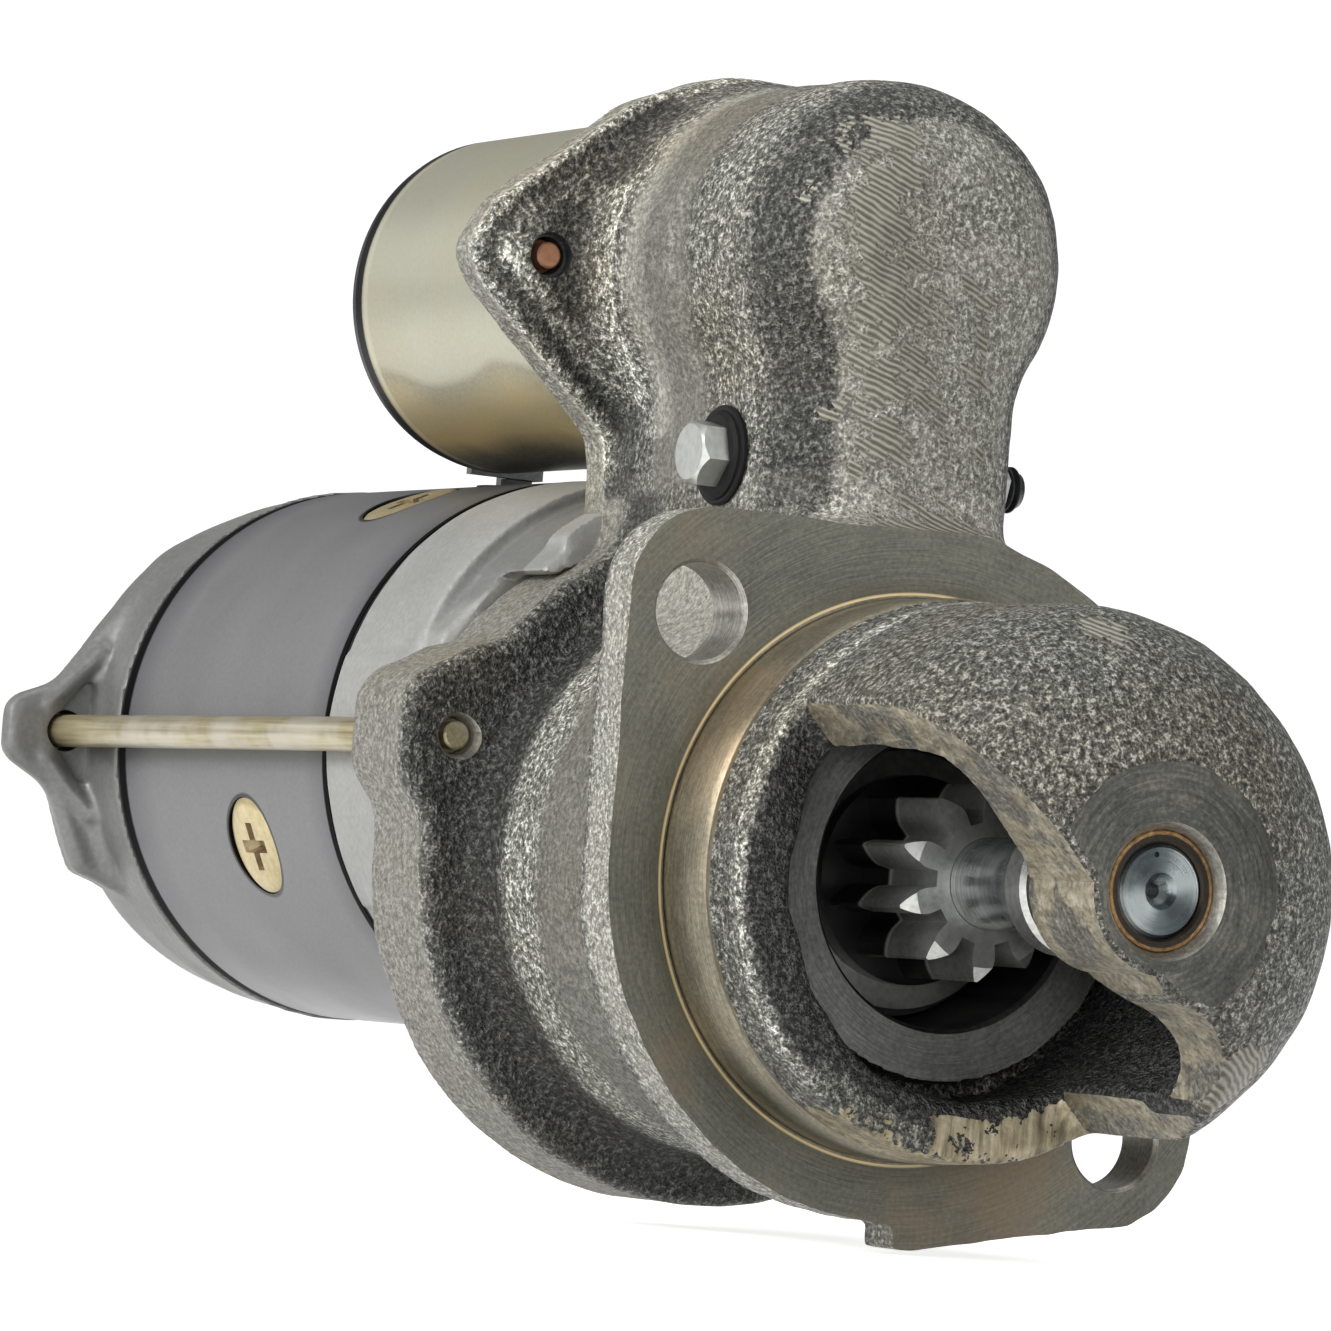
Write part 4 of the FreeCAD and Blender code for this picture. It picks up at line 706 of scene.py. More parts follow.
def drive_housing():
    h = 1.0
    ax, x, y, z = axes(-90, 84, -69, 69, -66, 143, h)
    xs, ys, zs = ax
    r0 = np.sqrt(y * y + z * z)
    rs = np.sqrt(y * y + (z - SZ) ** 2)
    # body, rim with its two bolt ears
    body = cylx(x, r0, -70.0, -3.0, 48.3, 1.0) + 0 * x
    ears = []
    for s in (-1, 1):
        ears.append(poly2(ys, zs, rounded([(s * 63.0, MZ + 9.0, 8.0), (s * 63.0, MZ - 9.0, 8.0), (s * 50.0, MZ - 14.5, 5), (s * 40.0, MZ, 0), (s * 47.0, MZ + 17.0, 5)])))
    ring = (np.sqrt(ys[:, None] ** 2 + zs[None, :] ** 2) - 57.4).astype(F32)
    o2 = smin(smin(ring, ears[0], 6.0), ears[1], 6.0)
    rim = extr(o2, x, -85.5, -62.5, 2.4)
    d = smin(body, rim, 8.0)
    # flange
    fo = poly2(ys, zs, flange_outline())
    fl = extr(fo, x, -11.0, 3.0, 1.0)
    d = smin(d, fl, 7.0)
    # nose
    nose = np.where(x > 46.0, np.where(r0 > 11.0, np.sqrt(np.maximum(x - 46.0, 0) ** 2 + (r0 - 11.0) ** 2) - 34.0, x - 80.0), r0 - (45.0 + 0.4 * np.clip((30.0 - x) / 18.0, 0, 1)))
    nose = np.maximum(nose, -8.0 - x)
    d = np.minimum(d, nose)
    # neck and bulb
    w, R, zc, fr = 24.0, 30.6, 103.0, 18.0
    zt = zc - math.sqrt((R + fr) ** 2 - (w + fr) ** 2)
    k0 = math.degrees(math.atan2(zc - zt, w + fr))
    key = arc(0, zc, R, 180 + k0, -k0, 48)
    key += [(w + fr - fr * math.cos(math.radians(t)), zt + fr * math.sin(math.radians(t))) for t in np.linspace(k0, 0, 10)]
    key += [(w, 20.0), (-w, 20.0)]
    key += [(-(w + fr) + fr * math.cos(math.radians(t)), zt + fr * math.sin(math.radians(t))) for t in np.linspace(0, k0, 10)]
    k2 = poly2(ys, zs, key)
    # rounded front, deeper along X than across
    a = k2[None] + 19.0
    b = (x + 27.0) * (19.0 / 23.0)
    neck = np.minimum(np.maximum(a, b), 0) + np.sqrt(np.maximum(a, 0) ** 2 + np.maximum(b, 0) ** 2) - 19.0
    neck = np.maximum(neck, -80.0 - x)
    neck = np.maximum(neck, 30.0 - z)
    # plate with the flare in front of it
    p2 = poly2(ys, zs, PLATE)
    plate = extr(p2, x, -79.0, -70.6, 0.9)
    bossr = np.sqrt((np.abs(y) - 40.0) ** 2 + (z - SZ) ** 2)
    stud_boss = np.maximum(np.maximum(bossr - 8.2, x + 69.2), -78.0 - x)
    plate = smin(plate, stud_boss, 2.5)
    flare_r = 30.4 + 4.4 * np.clip((-50.0 - x) / 20.0, 0, 1) ** 1.3
    flare = np.maximum(np.maximum((rs - flare_r) * 0.97, x + 44.0), -78.0 - x)
    head = smin(neck, flare, 4.0)
    head = smin(head, plate, 2.6)
    d = smin(d, head, 7.0)
    # rough casting: slow waves and small lumps
    d = d + (wave(ax, 14.0, 3) * 0.20 + wave(ax, 5.0, 5) * 0.13 + wave(ax, 2.4, 7) * 0.10)
    d = np.maximum(np.maximum(d, x - 78.6), np.maximum(z - 136.7, -60.4 - z))
    d = np.maximum(d, np.abs(y) - 66.8)
    d = np.maximum(d, -85.8 - x)
    d = np.minimum(d, np.maximum(np.maximum(r0 - 46.8, -8.0 - x), x - 14.0))
    # cast hollows
    q1 = np.where(x > 48.5, np.maximum(r0 - (39.0 - (x - 48.5) * 0.50), (x - 61.8)), r0 - 39.0)
    q2 = np.maximum(x - (62.5 - 4.0 * np.clip((16.5 - r0) / 2.5, 0, 1)), r0 - (35.5 - np.maximum(x - 57.0, 0) * 1.55))
    cav = np.maximum(smax(q1 * 0.94, q2 * 0.6, 3.0), 7.0 - x)
    d = smax(d, -(cav + wave(ax, 4.0, 11) * 0.25), 1.5)
    web = np.maximum(np.maximum(r0 - 32.5, 2.0 - x), x - 12.6)
    d = np.minimum(d, web)
    back = np.maximum(r0 - 40.6, x + 12.0)
    d = np.maximum(d, -back)
    slot = np.maximum(np.maximum(np.abs(x + 33.0) - 19.0, np.abs(y) - 9.5), np.maximum(20.0 - z, z - SZ))
    d = smax(d, -slot, 3.0)
    # window as cast: rounded lip at its rear and upper edge
    pn = WN[0] * y + WN[1] * z
    pt = WT[0] * y + WT[1] * z
    win = smax(24.4 - x + wave(ax, 3.2, 17) * 0.35, 9.9 - pn, 3.5)
    scoop = np.maximum(np.sqrt((pt - 25.5) ** 2 + (pn - 21.0) ** 2) - 15.7, 51.0 - x)
    win = smin(win, scoop, 3.0)
    win = np.where(x > 57.0, np.maximum(win, 13.9 - r0), win)
    d = smax(d, -win, 1.8)
    # room behind the flange holes
    for s in (-1, 1):
        q = np.sqrt((y - s * BOLT[0] * 1.06) ** 2 + (z - s * BOLT[1] * 1.06) ** 2) - 13.0
        d = smax(d, -np.maximum(np.maximum(q, x + 11.5), -60.0 - x), 3.0)
    o = skin("drive_housing_skin", d, ax, h)
    o.data.materials.append(MATS["cast"])
    M = MATS
    half = [wpt(-150, 9.5), wpt(150, 9.5), wpt(150, 160), wpt(-150, 160)]
    cuts = [
        lathe("c_face", [(0.0, 46.6), (0.0, 92.0), (6.0, 92.0), (6.0, 46.6)], 256, mat=M["face"]),
        lathe("c_pilot", [(-0.6, 46.035), (-0.6, 46.30), (0.02, 46.30), (0.02, 60.0), (15.5, 60.0), (15.5, 45.75), (12.9, 45.35), (11.9, 46.035)], 256, mat=M["pilot"]),
        lathe("c_spot", [(78.5, 0.0), (78.5, 20.3), (90.0, 20.3), (90.0, 0.0)], 192, mat=M["spot"]),
        lathe("c_bush", [(40.0, 0.0), (40.0, 9.6), (76.65, 9.6), (78.6, 10.87), (86.0, 10.87), (86.0, 0.0)], 128, mat=M["bore"]),
        lathe("c_boss", [(50.0, 0.0), (50.0, 14.0), (58.5, 14.0), (58.5, 0.0)], 128, mat=M["web"]),
        lathe("c_web", [(12.0, 0.0), (12.0, 33.0), (13.4, 33.0), (13.4, 0.0)], 128, mat=M["web"]),
        lathe("c_webbore", [(-30.0, 0.0), (-30.0, 24.0), (11.2, 24.0), (13.0, 25.6), (13.0, 0.0)], 128, mat=M["inner"]),
        lathe("c_back", [(-95.0, 0.0), (-95.0, 46.0), (-79.5, 46.0), (-79.5, 41.0), (-12.2, 41.0), (-12.2, 0.0)], 192, mat=M["inner"]),
        lathe("c_sol", [(-95.0, 0.0), (-95.0, 18.0), (-15.0, 18.0), (-15.0, 0.0)], 128, z=SZ, mat=M["inner"]),
        lathe("c_rear", [(-95.0, 0.0), (-95.0, 130.0), (-85.5, 130.0), (-85.5, 0.0)], 64, mat=M["bore"]),
        lathe("c_plate", [(-95.0, 0.0), (-95.0, 60.0), (-79.0, 60.0), (-79.0, 0.0)], 64, z=SZ + 12.0, mat=M["bore"]),
        lathe("c_pivot", [(-40.0, 0.0), (-40.0, 4.05), (40.0, 4.05), (40.0, 0.0)], 48, axis="y", x=PX, z=PZ, mat=M["inner"]),
        lathe("c_seat1", [(-60.0, 0.0), (-60.0, 9.0), (-24.0, 9.0), (-24.0, 0.0)], 96, axis="y", x=PX, z=PZ, mat=M["bore"]),
        lathe("c_seat2", [(60.0, 0.0), (60.0, 9.0), (24.0, 9.0), (24.0, 0.0)], 96, axis="y", x=PX, z=PZ, mat=M["bore"]),
        prism("c_win", half, 26.0, 110.0, mat=M["broken"]),
        lathe("c_scoop", [(52.0, 0.0), (52.0, 16.0), (110.0, 16.0), (110.0, 0.0)], 128, y=wpt(25.5, 21)[0], z=wpt(25.5, 21)[1], mat=M["broken"]),
    ]
    ring = lathe("c_keep", [(58.5, 0.0), (58.5, 13.2), (112.0, 13.2), (112.0, 0.0)], 160, mat=M["broken"])
    keep2 = lathe("c_keep2", [(58.5, 0.0), (58.5, 13.2), (112.0, 13.2), (112.0, 0.0)], 160, mat=M["broken"])
    boolean(cuts[-2], [ring])
    boolean(cuts[-1], [keep2])
    for s in (-1, 1):
        cuts.append(lathe("c_bolt", [(-20.0, 0.0), (-20.0, 7.94), (-0.7, 7.94), (0.6, 9.2), (4.0, 9.2), (4.0, 0.0)], 96, y=s * BOLT[0], z=s * BOLT[1], mat=M["bore"]))
        cuts.append(lathe("c_thru", [(-95.0, 0.0), (-95.0, 3.35), (-63.4, 3.35), (-62.3, 4.2), (-58.0, 4.2), (-58.0, 0.0)], 64, y=s * 53.25, z=MZ, mat=M["bore"]))
        cuts.append(lathe("c_stud", [(-95.0, 0.0), (-95.0, 3.3), (-70.6, 3.3), (-70.6, 3.9), (-60.0, 3.9), (-60.0, 0.0)], 64, y=s * 40.0, z=SZ, mat=M["inner"]))
    boolean(o, cuts)
    v = verts_of(o.data)
    vx, vy, vz = v.T
    r = np.hypot(vy, vz)
    n = len(v)
    # Painted shade: near black inside the nose cavity, on the shaded side of the window lip, inside the housing behind
    # the flange, in the solenoid bore and round the stud holes on the plate's front.
    inside = (sstep(6, 7.5, vx) * (1 - sstep(61, 63, vx))) * (1 - sstep(39.6, 40.8, r))
    left = sstep(-6, 4, -vy * 0.74 + vz * 0.67)
    dark = np.maximum(inside, 0.92 * sstep(23.0, 23.9, vx) * (1 - sstep(25.5, 26.5, vx)) * (1 - sstep(43.6, 45.2, r)) * left)
    dark = np.maximum(dark, (r < 41.2) * (vx < -11.0) * 0.9)
    rsv = np.hypot(vy, vz - SZ)
    dark = np.maximum(dark, (rsv < 18.3) * (vx < -16) * 0.9)
    ringd = np.hypot(np.abs(vy) - 40.0, vz - SZ)
    dark = np.maximum(dark, 0.75 * (vx < -68.2) * (1 - sstep(3.6, 5.2, ringd)) * (vx > -72))
    attr(o.data, "dark", dark)
    ang = np.degrees(np.arctan2(vz, vy))
    # ground patches: bulb front, ring underside, dabs on the dome
    zk = [52, 60, 66, 94, 117, 124, 128]
    yl = np.interp(vz, zk, [-4, -8.0, -10.5, -14.6, -18.6, -14.5, -8.0])
    yr = np.interp(vz, zk, [-4, -1.0, -4.6, -5.6, -6.2, -6.0, -7.0])
    lump = np.sin(vz * 0.55) * 1.3 + np.sin(vz * 0.21 + 1.3) * 1.4 + np.sin(vz * 1.3 + vy) * 0.9 + np.sin(vz * 0.93 - vy * 0.8 + 2.0) * 1.1 + np.sin(vz * 2.1 + vy * 1.1) * 0.5
    g = np.clip(0.5 + np.minimum(vy - (yl + lump * 1.1), (yr + lump * 0.9) - vy) * 0.10, 0, 1) * sstep(51, 55, vz) * (1 - sstep(124, 128, vz))
    attr(o.data, "lines", np.clip((vz > 20) * 1.0 + (vy > 12) * (vx > 40), 0, 1))
    blot = 0.31 * sstep(-8, -3, vy) * (1 - sstep(7, 12, vy)) * sstep(62, 70, vz) * (1 - sstep(104, 112, vz))
    chev = np.clip(0.5 + np.minimum(vz - (52.5 + np.abs(vy + 3) * 0.15), 61.0 - np.abs(vy + 2) * 0.25 - vz) * 0.16, 0, 1) * (1 - sstep(9, 13, np.abs(vy + 2)))
    g = np.maximum(np.maximum(g, blot), chev * 0.95) * sstep(-16, -11, vx) * (vx < 3)
    g2 = sstep(11.2, 12.0, vx) * (1 - sstep(23, 25, vx)) * sstep(-125, -118, ang) * (1 - sstep(-72, -64, ang)) * (r > 42)
    g4 = 0.9 * sstep(23.0, 23.8, vx) * (1 - sstep(25.2, 26.4, vx)) * sstep(-9, -4, vy) * (1 - sstep(24, 28, vy)) * (vz < -25) * (r > 38.0)
    g3 = 0.85 * (1 - sstep(3.0, 6.5, np.sqrt((vx - 62.0) ** 2 * 0.6 + (vy + 5.0) ** 2 + (vz - 38.0) ** 2 * 0.5)))
    g5 = 0.95 * (1 - sstep(5.5, 8.5, np.sqrt((vx - 71.0) ** 2 + (vy - 21.0) ** 2 * 0.8 + (vz + 29.0) ** 2 * 0.8)))
    attr(o.data, "grind", np.maximum(np.maximum(np.maximum(g, g2), np.maximum(g3, g4)), g5) * (r > 20))
    # smoother skin: gear case, neck sides, edges of flange and rim
    fr_ = (1 - sstep(-8.4, -7.4, -np.abs(vx + 3.5) - 4)) * 0
    fedge = sstep(-9.5, -8.0, vx) * (1 - sstep(0.2, 0.6, vx)) * (r > 53.0)
    case = sstep(-44, -38, vx) * (1 - sstep(-18, -13, vx)) * (r < 50.5) * (vz < 55)
    side = sstep(-60, -54, vx) * (1 - sstep(-42, -35, vx)) * sstep(60, 66, vz) * (1 - sstep(132, 134, vz))
    rimo = (r > 54.5) * (1 - sstep(-66.5, -64.5, vx)) * (vz < 62)
    pe = ((vx < -71.6) & (vz > 62)).astype(F32)
    low_neck = sstep(-20, -12, -np.abs(vy) - 2) * 0 + ((vz > 46) & (vz < 66) & (vx > -70) & (vx < -2)).astype(F32) * 0.35
    hole = (np.abs(vy + 29.0) < 10.0) & (np.abs(vz - 41.5) < 9.0) & (vx < -12.0) & (vx > -52)
    attr(o.data, "smooth", np.clip(np.maximum.reduce([hole * 1.0, case * 0.85, side * 0.95, rimo * 0.9, pe * 0.75, fedge * 0.55, low_neck]), 0, 1))
    # Painted light: a per-vertex factor on the cast colour. Painted highlights on the plate edge, flare rim, stud
    # bosses, flange edge, rim side, plate, neck side, fillet ridge and window lip; painted shade in the plate crease,
    # on the rim front, fillet, bulb front and its left rounding, and the gear case.
    painted_light_shade = np.ones(n, F32)
    pd = poly_pts(vy, vz, PLATE)
    pfront = sstep(-73.2, -72.0, vx) * (1 - sstep(-69.0, -67.5, vx)) * (vz > 66)
    lowl = sstep(-103.0, -99.0, -vz)
    # painted highlights at the plate's edge, flare rim and stud bosses; painted shade in the crease
    painted_light_shade *= 1 + 1.3 * pfront * sstep(-1.5, -0.7, pd)
    painted_light_shade *= 1 - 0.45 * pfront * (1 - sstep(0.8, 1.5, np.abs(pd + 2.8)))
    painted_light_shade *= 1 + 1.9 * pfront * lowl * (1 - sstep(1.1, 2.1, np.abs(pd + 6.0)))
    painted_light_shade *= 1 + 1.9 * (vx < -60) * (vx > -73) * (vz > 66) * (vz < 115) * (1 - sstep(1.0, 2.4, np.abs(rsv - 32.8)))
    painted_light_shade *= 1 + 1.3 * pfront * (1 - sstep(1.8, 4.2, np.hypot(np.abs(vy) - 47.5, vz - SZ)))
    # painted highlight on the flange edge and on the rim side
    painted_light_shade *= 1 + 0.95 * fedge
    painted_light_shade *= 1 + 0.30 * rimo
    # painted shade on the front faces of rim and plate, painted highlight towards their outer ends
    front = sstep(-70.9, -69.8, vx) * (1 - sstep(-66, -60, vx)) * (vz > 62)
    painted_light_shade *= 1 - 0.52 * front * (np.abs(vy) > 18) * (1 - sstep(38.0, 43.0, np.abs(vy))) 
    painted_light_shade *= 1 + 0.35 * front * sstep(41.0, 45.0, np.abs(vy))
    edge_band = sstep(-63, -58, vx) * (1 - sstep(-54, -49, vx)) * (vz > 72) * (np.abs(vy) < 45)
    painted_light_shade *= 1 + 0.75 * edge_band
    # painted highlight down the neck side
    rib = sstep(-40, -33, vx) * (1 - sstep(-24, -17, vx)) * (vz > 60)
    painted_light_shade *= 1 + 0.65 * rib
    # painted shade on the fillet behind the rim, painted highlight on the ridge in front of it
    fil = sstep(-64.5, -62.0, vx) * (1 - sstep(-55, -51, vx)) * (vz < 62)
    painted_light_shade *= 1 - 0.66 * fil
    ridge = sstep(-54, -50, vx) * (1 - sstep(-43, -39, vx)) * (vz < 55)
    painted_light_shade *= 1 + 1.25 * ridge
    painted_light_shade *= 1 + 0.60 * pe
    # painted shade on the bulb's front and on its rounded left edge
    bulb = sstep(-24, -14, vx) * (vz > 64)
    painted_light_shade *= 1 - 0.14 * bulb
    painted_light_shade *= 1 - 0.36 * sstep(-21, -16, vx) * (1 - sstep(-9.5, -6.5, vx)) * sstep(58, 64, vz) * (vy < -5)
    painted_light_shade *= 1 - 0.10 * case
    painted_light_shade = np.where(hole, 1.9, painted_light_shade)
    # painted highlight on the window lip's edge
    painted_light_shade *= 1 + 1.2 * sstep(20.0, 22.0, vx) * (1 - sstep(24.4, 25.2, vx)) * sstep(42.5, 43.8, r) * left
    nose_t = (vx > 14) * 1.0
    painted_light_shade *= 1 + 0.02 * nose_t
    attr(o.data, "painted_light_shade", painted_light_shade)
    done(o, 38.0)
    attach(o, "housing")
    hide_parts("drive_housing")
    return o

# ---------------------------------------------------------------- aluminium housings
def poly_pts(py, pz, pts):
    """Signed distance of points to a closed outline, negative inside."""
    d = np.full(len(py), 1e9)
    sg = np.ones(len(py))
    py, pz = py.astype(np.float64), pz.astype(np.float64)
    n = len(pts)
    for i in range(n):
        (ax, ay), (bx, by) = pts[i], pts[(i + 1) % n]
        ex, ey, wx, wy = bx - ax, by - ay, py - ax, pz - ay
        t = np.clip((wx * ex + wy * ey) / max(ex * ex + ey * ey, 1e-12), 0, 1)
        d = np.minimum(d, (wx - ex * t) ** 2 + (wy - ey * t) ** 2)
        c1, c2, c3 = pz >= ay, pz < by, ex * wy > ey * wx
        sg = np.where((c1 & c2 & c3) | (~c1 & ~c2 & ~c3), -sg, sg)
    return sg * np.sqrt(d)

def rm_ok(vm):
    return (vm > 46.6).astype(F32)

def centre_housing():
    h = 0.8
    ax, x, y, z = axes(-129, -66, -54, 54, -48, 72, h)
    xs, ys, zs = ax
    r0 = np.sqrt(y * y + z * z)
    rm = np.sqrt(y * y + (z - MZ) ** 2)
    d = cylx(x, rm, -121.9, -93.0, 49.4, 0.9) + 0 * x
    pad = np.maximum(np.maximum(cylx(x, rm, -121.9, -93.2, 49.85, 0.5), z - 33.4), 40 - np.abs(y))
    d = np.minimum(d, pad)
    core = cylx(x, rm, -110.0, -85.5, 46.2, 0.6)
    low = cylx(x, r0, -113.8, -85.5, 43.0, 1.2)
    d = smin(smin(d, core, 2.0), low, 2.5)
    step = np.maximum(cylx(x, r0, -96.0, -85.5, 58.7, 2.4), rm - 49.0)
    d = smin(d, step, 2.0)
    lobe = np.maximum(np.maximum(cylx(x, rm, -96.0, -71.5, 46.2, 2.0), 57.9 - r0), np.abs(y) - 43.5)
    lobe = np.maximum(lobe, 48.0 - z)
    d = smin(d, lobe, 1.4)
    boss = np.maximum(np.maximum(np.abs(x + 75.6) - 3.8, np.abs(y + 27.4) - 3.6), np.maximum(rm - 47.6, 50.0 - z))
    d = smin(d, boss, 1.2)
    d = d + wave(ax, 9.0, 23) * 0.10 + wave(ax, 3.0, 29) * 0.035
    o = skin("center_housing_cast", d, ax, h)
    o.data.materials.append(MATS["alu_c"])
    a = MATS["alu"]
    b = MATS["bore"]
    cuts = [lathe("k1", [(-117.0, 0.0), (-117.0, 34.6), (-60.0, 34.6), (-60.0, 0.0)], 160, mat=b),
            lathe("k2", [(-135.0, 0.0), (-135.0, 14.0), (-110.0, 14.0), (-110.0, 0.0)], 96, z=MZ, mat=b),
            lathe("k3", [(-135.0, 0.0), (-135.0, 90.0), (-119.75, 90.0), (-119.75, 0.0)], 64, z=MZ, mat=b)]
    for s in (-1, 1):
        cuts.append(lathe("k4", [(-135.0, 0.0), (-135.0, 4.0), (-60.0, 4.0), (-60.0, 0.0)], 48, y=s * 53.25, z=MZ, mat=b))
    # rear face of the iron rim
    cuts.append(lathe("k5", [(-85.4, 46.0), (-85.4, 57.7), (-60.0, 57.7), (-60.0, 46.0)], 200, mat=a))
    cuts.append(prism("k6", [(-80, -80), (80, -80), (80, 47), (-80, 47)], -85.4, -60.0, mat=a))
    boolean(o, cuts)
    v = verts_of(o.data)
    vx, vy, vz = v.T
    vm, v0 = np.hypot(vy, vz - MZ), np.hypot(vy, vz)
    # Painted shade on the band beside the iron rim's rear face, painted highlight on the lobe in front of x = -80.
    painted_light_shade = np.ones(len(v), F32)
    painted_light_shade *= 1 - 0.42 * (vx > -94.2) * (1 - sstep(48.8, 49.3, vm)) * sstep(58.4, 59.2, v0) * (vx < -79.5)
    painted_light_shade *= 1 + 0.12 * (vx > -80) * (rm_ok(vm))
    attr(o.data, "painted_light_shade", painted_light_shade)
    done(o, 35.0)
    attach(o, "housing")
    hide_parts("center_housing")
    spig = lathe("center_housing_spigot", [(-126.2, 16.0), (-126.2, 44.6), (-125.7, 45.1), (-119.7, 45.1), (-119.7, 16.0)], 200, z=MZ, mat=b)
    done(spig, 30.0)
    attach(spig, "housing")

def end_frame():
    h = 0.8
    ax, x, y, z = axes(-250, -206, -69, 69, -34, 72, h)
    xs, ys, zs = ax
    rm = np.sqrt(y * y + (z - MZ) ** 2)
    R = np.interp(xs, [-248.0, -247.4, -246.2, -244.2, -241.5, -239.0, -225.0, -209.8], [37.5, 40.2, 42.4, 44.4, 45.9, 46.5, 48.5, 49.3]).astype(F32)[:, None, None]
    d = np.maximum((rm - R) * 0.93, -248.0 - x)
    d = smax(d, x + 209.9, 1.0)
    for s in (-1, 1):
        ear2 = poly2(ys, zs, rounded([(s * 65.2, MZ + 5.2, 5.2), (s * 65.2, MZ - 5.2, 5.2), (s * 55.6, MZ - 10.6, 9), (s * 51.2, MZ - 20.5, 8), (s * 48.6, MZ - 26.0, 3), (s * 40.5, MZ - 28.6, 2), (s * 30.0, MZ - 20, 0),
                                      (s * 25.0, MZ + 38.0, 4), (s * 33.5, MZ + 35.8, 14), (s * 46.8, MZ + 20.5, 18), (s * 55.6, MZ + 9.0, 9)]))
        ear3 = poly2(ys, zs, rounded([(s * 61.6, MZ + 5.2, 5.1), (s * 61.6, MZ - 5.2, 5.1), (s * 54.0, MZ - 10.6, 9), (s * 50.4, MZ - 20.5, 8), (s * 47.8, MZ - 26.0, 3), (s * 39.5, MZ - 28.6, 2), (s * 30.0, MZ - 20, 0),
                                      (s * 25.0, MZ + 38.0, 4), (s * 32.5, MZ + 35.8, 14), (s * 45.8, MZ + 20.5, 18), (s * 54.0, MZ + 9.0, 9)]))
        ear = np.minimum(extr(ear2, x, -229.4, -224.6, 1.8), extr(ear3, x, -233.0, -225.0, 2.0))
        d = smin(d, ear, 4.0)
        # lips of the three-cornered pocket
        for t in (-1, 1):
            p0 = np.array((-225.0, s * 57.0, MZ + t * 5.0)); p1 = np.array((-223.6, s * 47.6, MZ + t * 15.2))
            e = p1 - p0
            q = [x - p0[0], y - p0[1], z - p0[2]]
            k = np.clip((q[0] * e[0] + q[1] * e[1] + q[2] * e[2]) / (e @ e), 0, 1)
            cap = np.sqrt((q[0] - k * e[0]) ** 2 + (q[1] - k * e[1]) ** 2 + (q[2] - k * e[2]) ** 2) - 1.2
            d = smin(d, cap, 1.6)
        tri = poly2(ys, zs, rounded([(s * 57.0, MZ, 1.0), (s * 48.3, MZ + 11.4, 1.0), (s * 48.3, MZ - 11.4, 1.0)]))
        d = smax(d, -np.maximum(tri[None], -225.5 - x), 0.8)
    d = d + wave(ax, 9.0, 43) * 0.04 + wave(ax, 3.0, 49) * 0.02
    lipf = np.maximum(np.maximum(np.abs(x + 210.8) - 0.9, rm - 49.75), 40.0 - rm)
    d = smin(d, lipf, 0.6)
    d = np.maximum(np.maximum(d, -247.85 - x), np.abs(y) - 64.9)
    o = skin("end_frame_cast", d, ax, h)
    o.data.materials.append(MATS["alu_end"])
    b = MATS["bore"]
    cuts = [lathe("e1", [(-200.0, 0.0), (-200.0, 45.2), (-226.0, 44.6), (-240.0, 41.0), (-243.5, 36.0), (-243.5, 15.0), (-233.0, 15.0), (-233.0, 0.0)], 160, z=MZ, mat=b),
            lathe("e2", [(-243.45, 0.0), (-243.45, 11.0), (-230.0, 11.0), (-230.0, 0.0)], 96, z=MZ, mat=b)]
    for s in (-1, 1):
        cuts.append(lathe("e3", [(-260.0, 0.0), (-260.0, 7.2), (-233.0, 7.2), (-233.0, 3.9), (-200.0, 3.9), (-200.0, 0.0)], 64, y=s * 53.25, z=MZ, mat=MATS["inner"]))
    boolean(o, cuts)
    done(o, 35.0)
    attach(o, "housing")
    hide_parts("end_frame")

# ---------------------------------------------------------------- fasteners
def closed(name, parts, node, body, sharp=30.0):
    """Join closed shells into one object that stands for a CAD node."""
    me = bpy.data.meshes.new(name)
    bm = bmesh.new()
    mats = []
    for p in parts:
        off = len(mats)
        mats += list(p.data.materials)
        for f in p.data.polygons:
            f.material_index += off
        bm.from_mesh(p.data)
    bm.to_mesh(me)
    bm.free()
    for q in mats:
        me.materials.append(q)
    for p in parts:
        dd = p.data
        bpy.data.objects.remove(p)
        bpy.data.meshes.remove(dd)
    o = obj(name, me)
    done(o, sharp)
    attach(o, body)
    if node:
        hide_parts(node)
    return o

def hexhead(name, across, lo, hi, chamfer, mat, axis="x", x=0.0, y=0.0, z=0.0, start=0.0, cap=1):
    """Hexagon with its top corners turned off by a cone; cap 1 chamfers the high end, -1 the low one."""
    rr = across / math.sqrt(3)
    o = lathe(name, [(lo, 0.0), (lo, rr), (hi, rr), (hi, 0.0)], 6, y=y, z=z, mat=mat, axis=axis, x=x, start=start)
    a2 = across * 0.5
    if cap > 0:
        prof = [(lo - 1, 0.0), (lo - 1, rr + 1), (hi - chamfer, rr + 0.25), (hi + 0.01, a2 * 0.93), (hi + 0.01, 0.0)]
    else:
        prof = [(hi + 1, 0.0), (hi + 1, rr + 1), (lo + chamfer, rr + 0.25), (lo - 0.01, a2 * 0.93), (lo - 0.01, 0.0)]
    t = lathe(name + "_t", prof, 96, y=y, z=z, mat=mat, axis=axis, x=x)
    return boolean(o, [t], "INTERSECT")

def thread(r, x0, x1, pitch=1.0, depth=0.55):
    out, n = [], max(1, int(round((x1 - x0) / pitch)))
    for k in range(n):
        a = x0 + (x1 - x0) * k / n
        w = (x1 - x0) / n
        out += [(a, r - depth), (a + w * 0.4, r), (a + w * 0.6, r)]
    return out + [(x1, r - depth)]

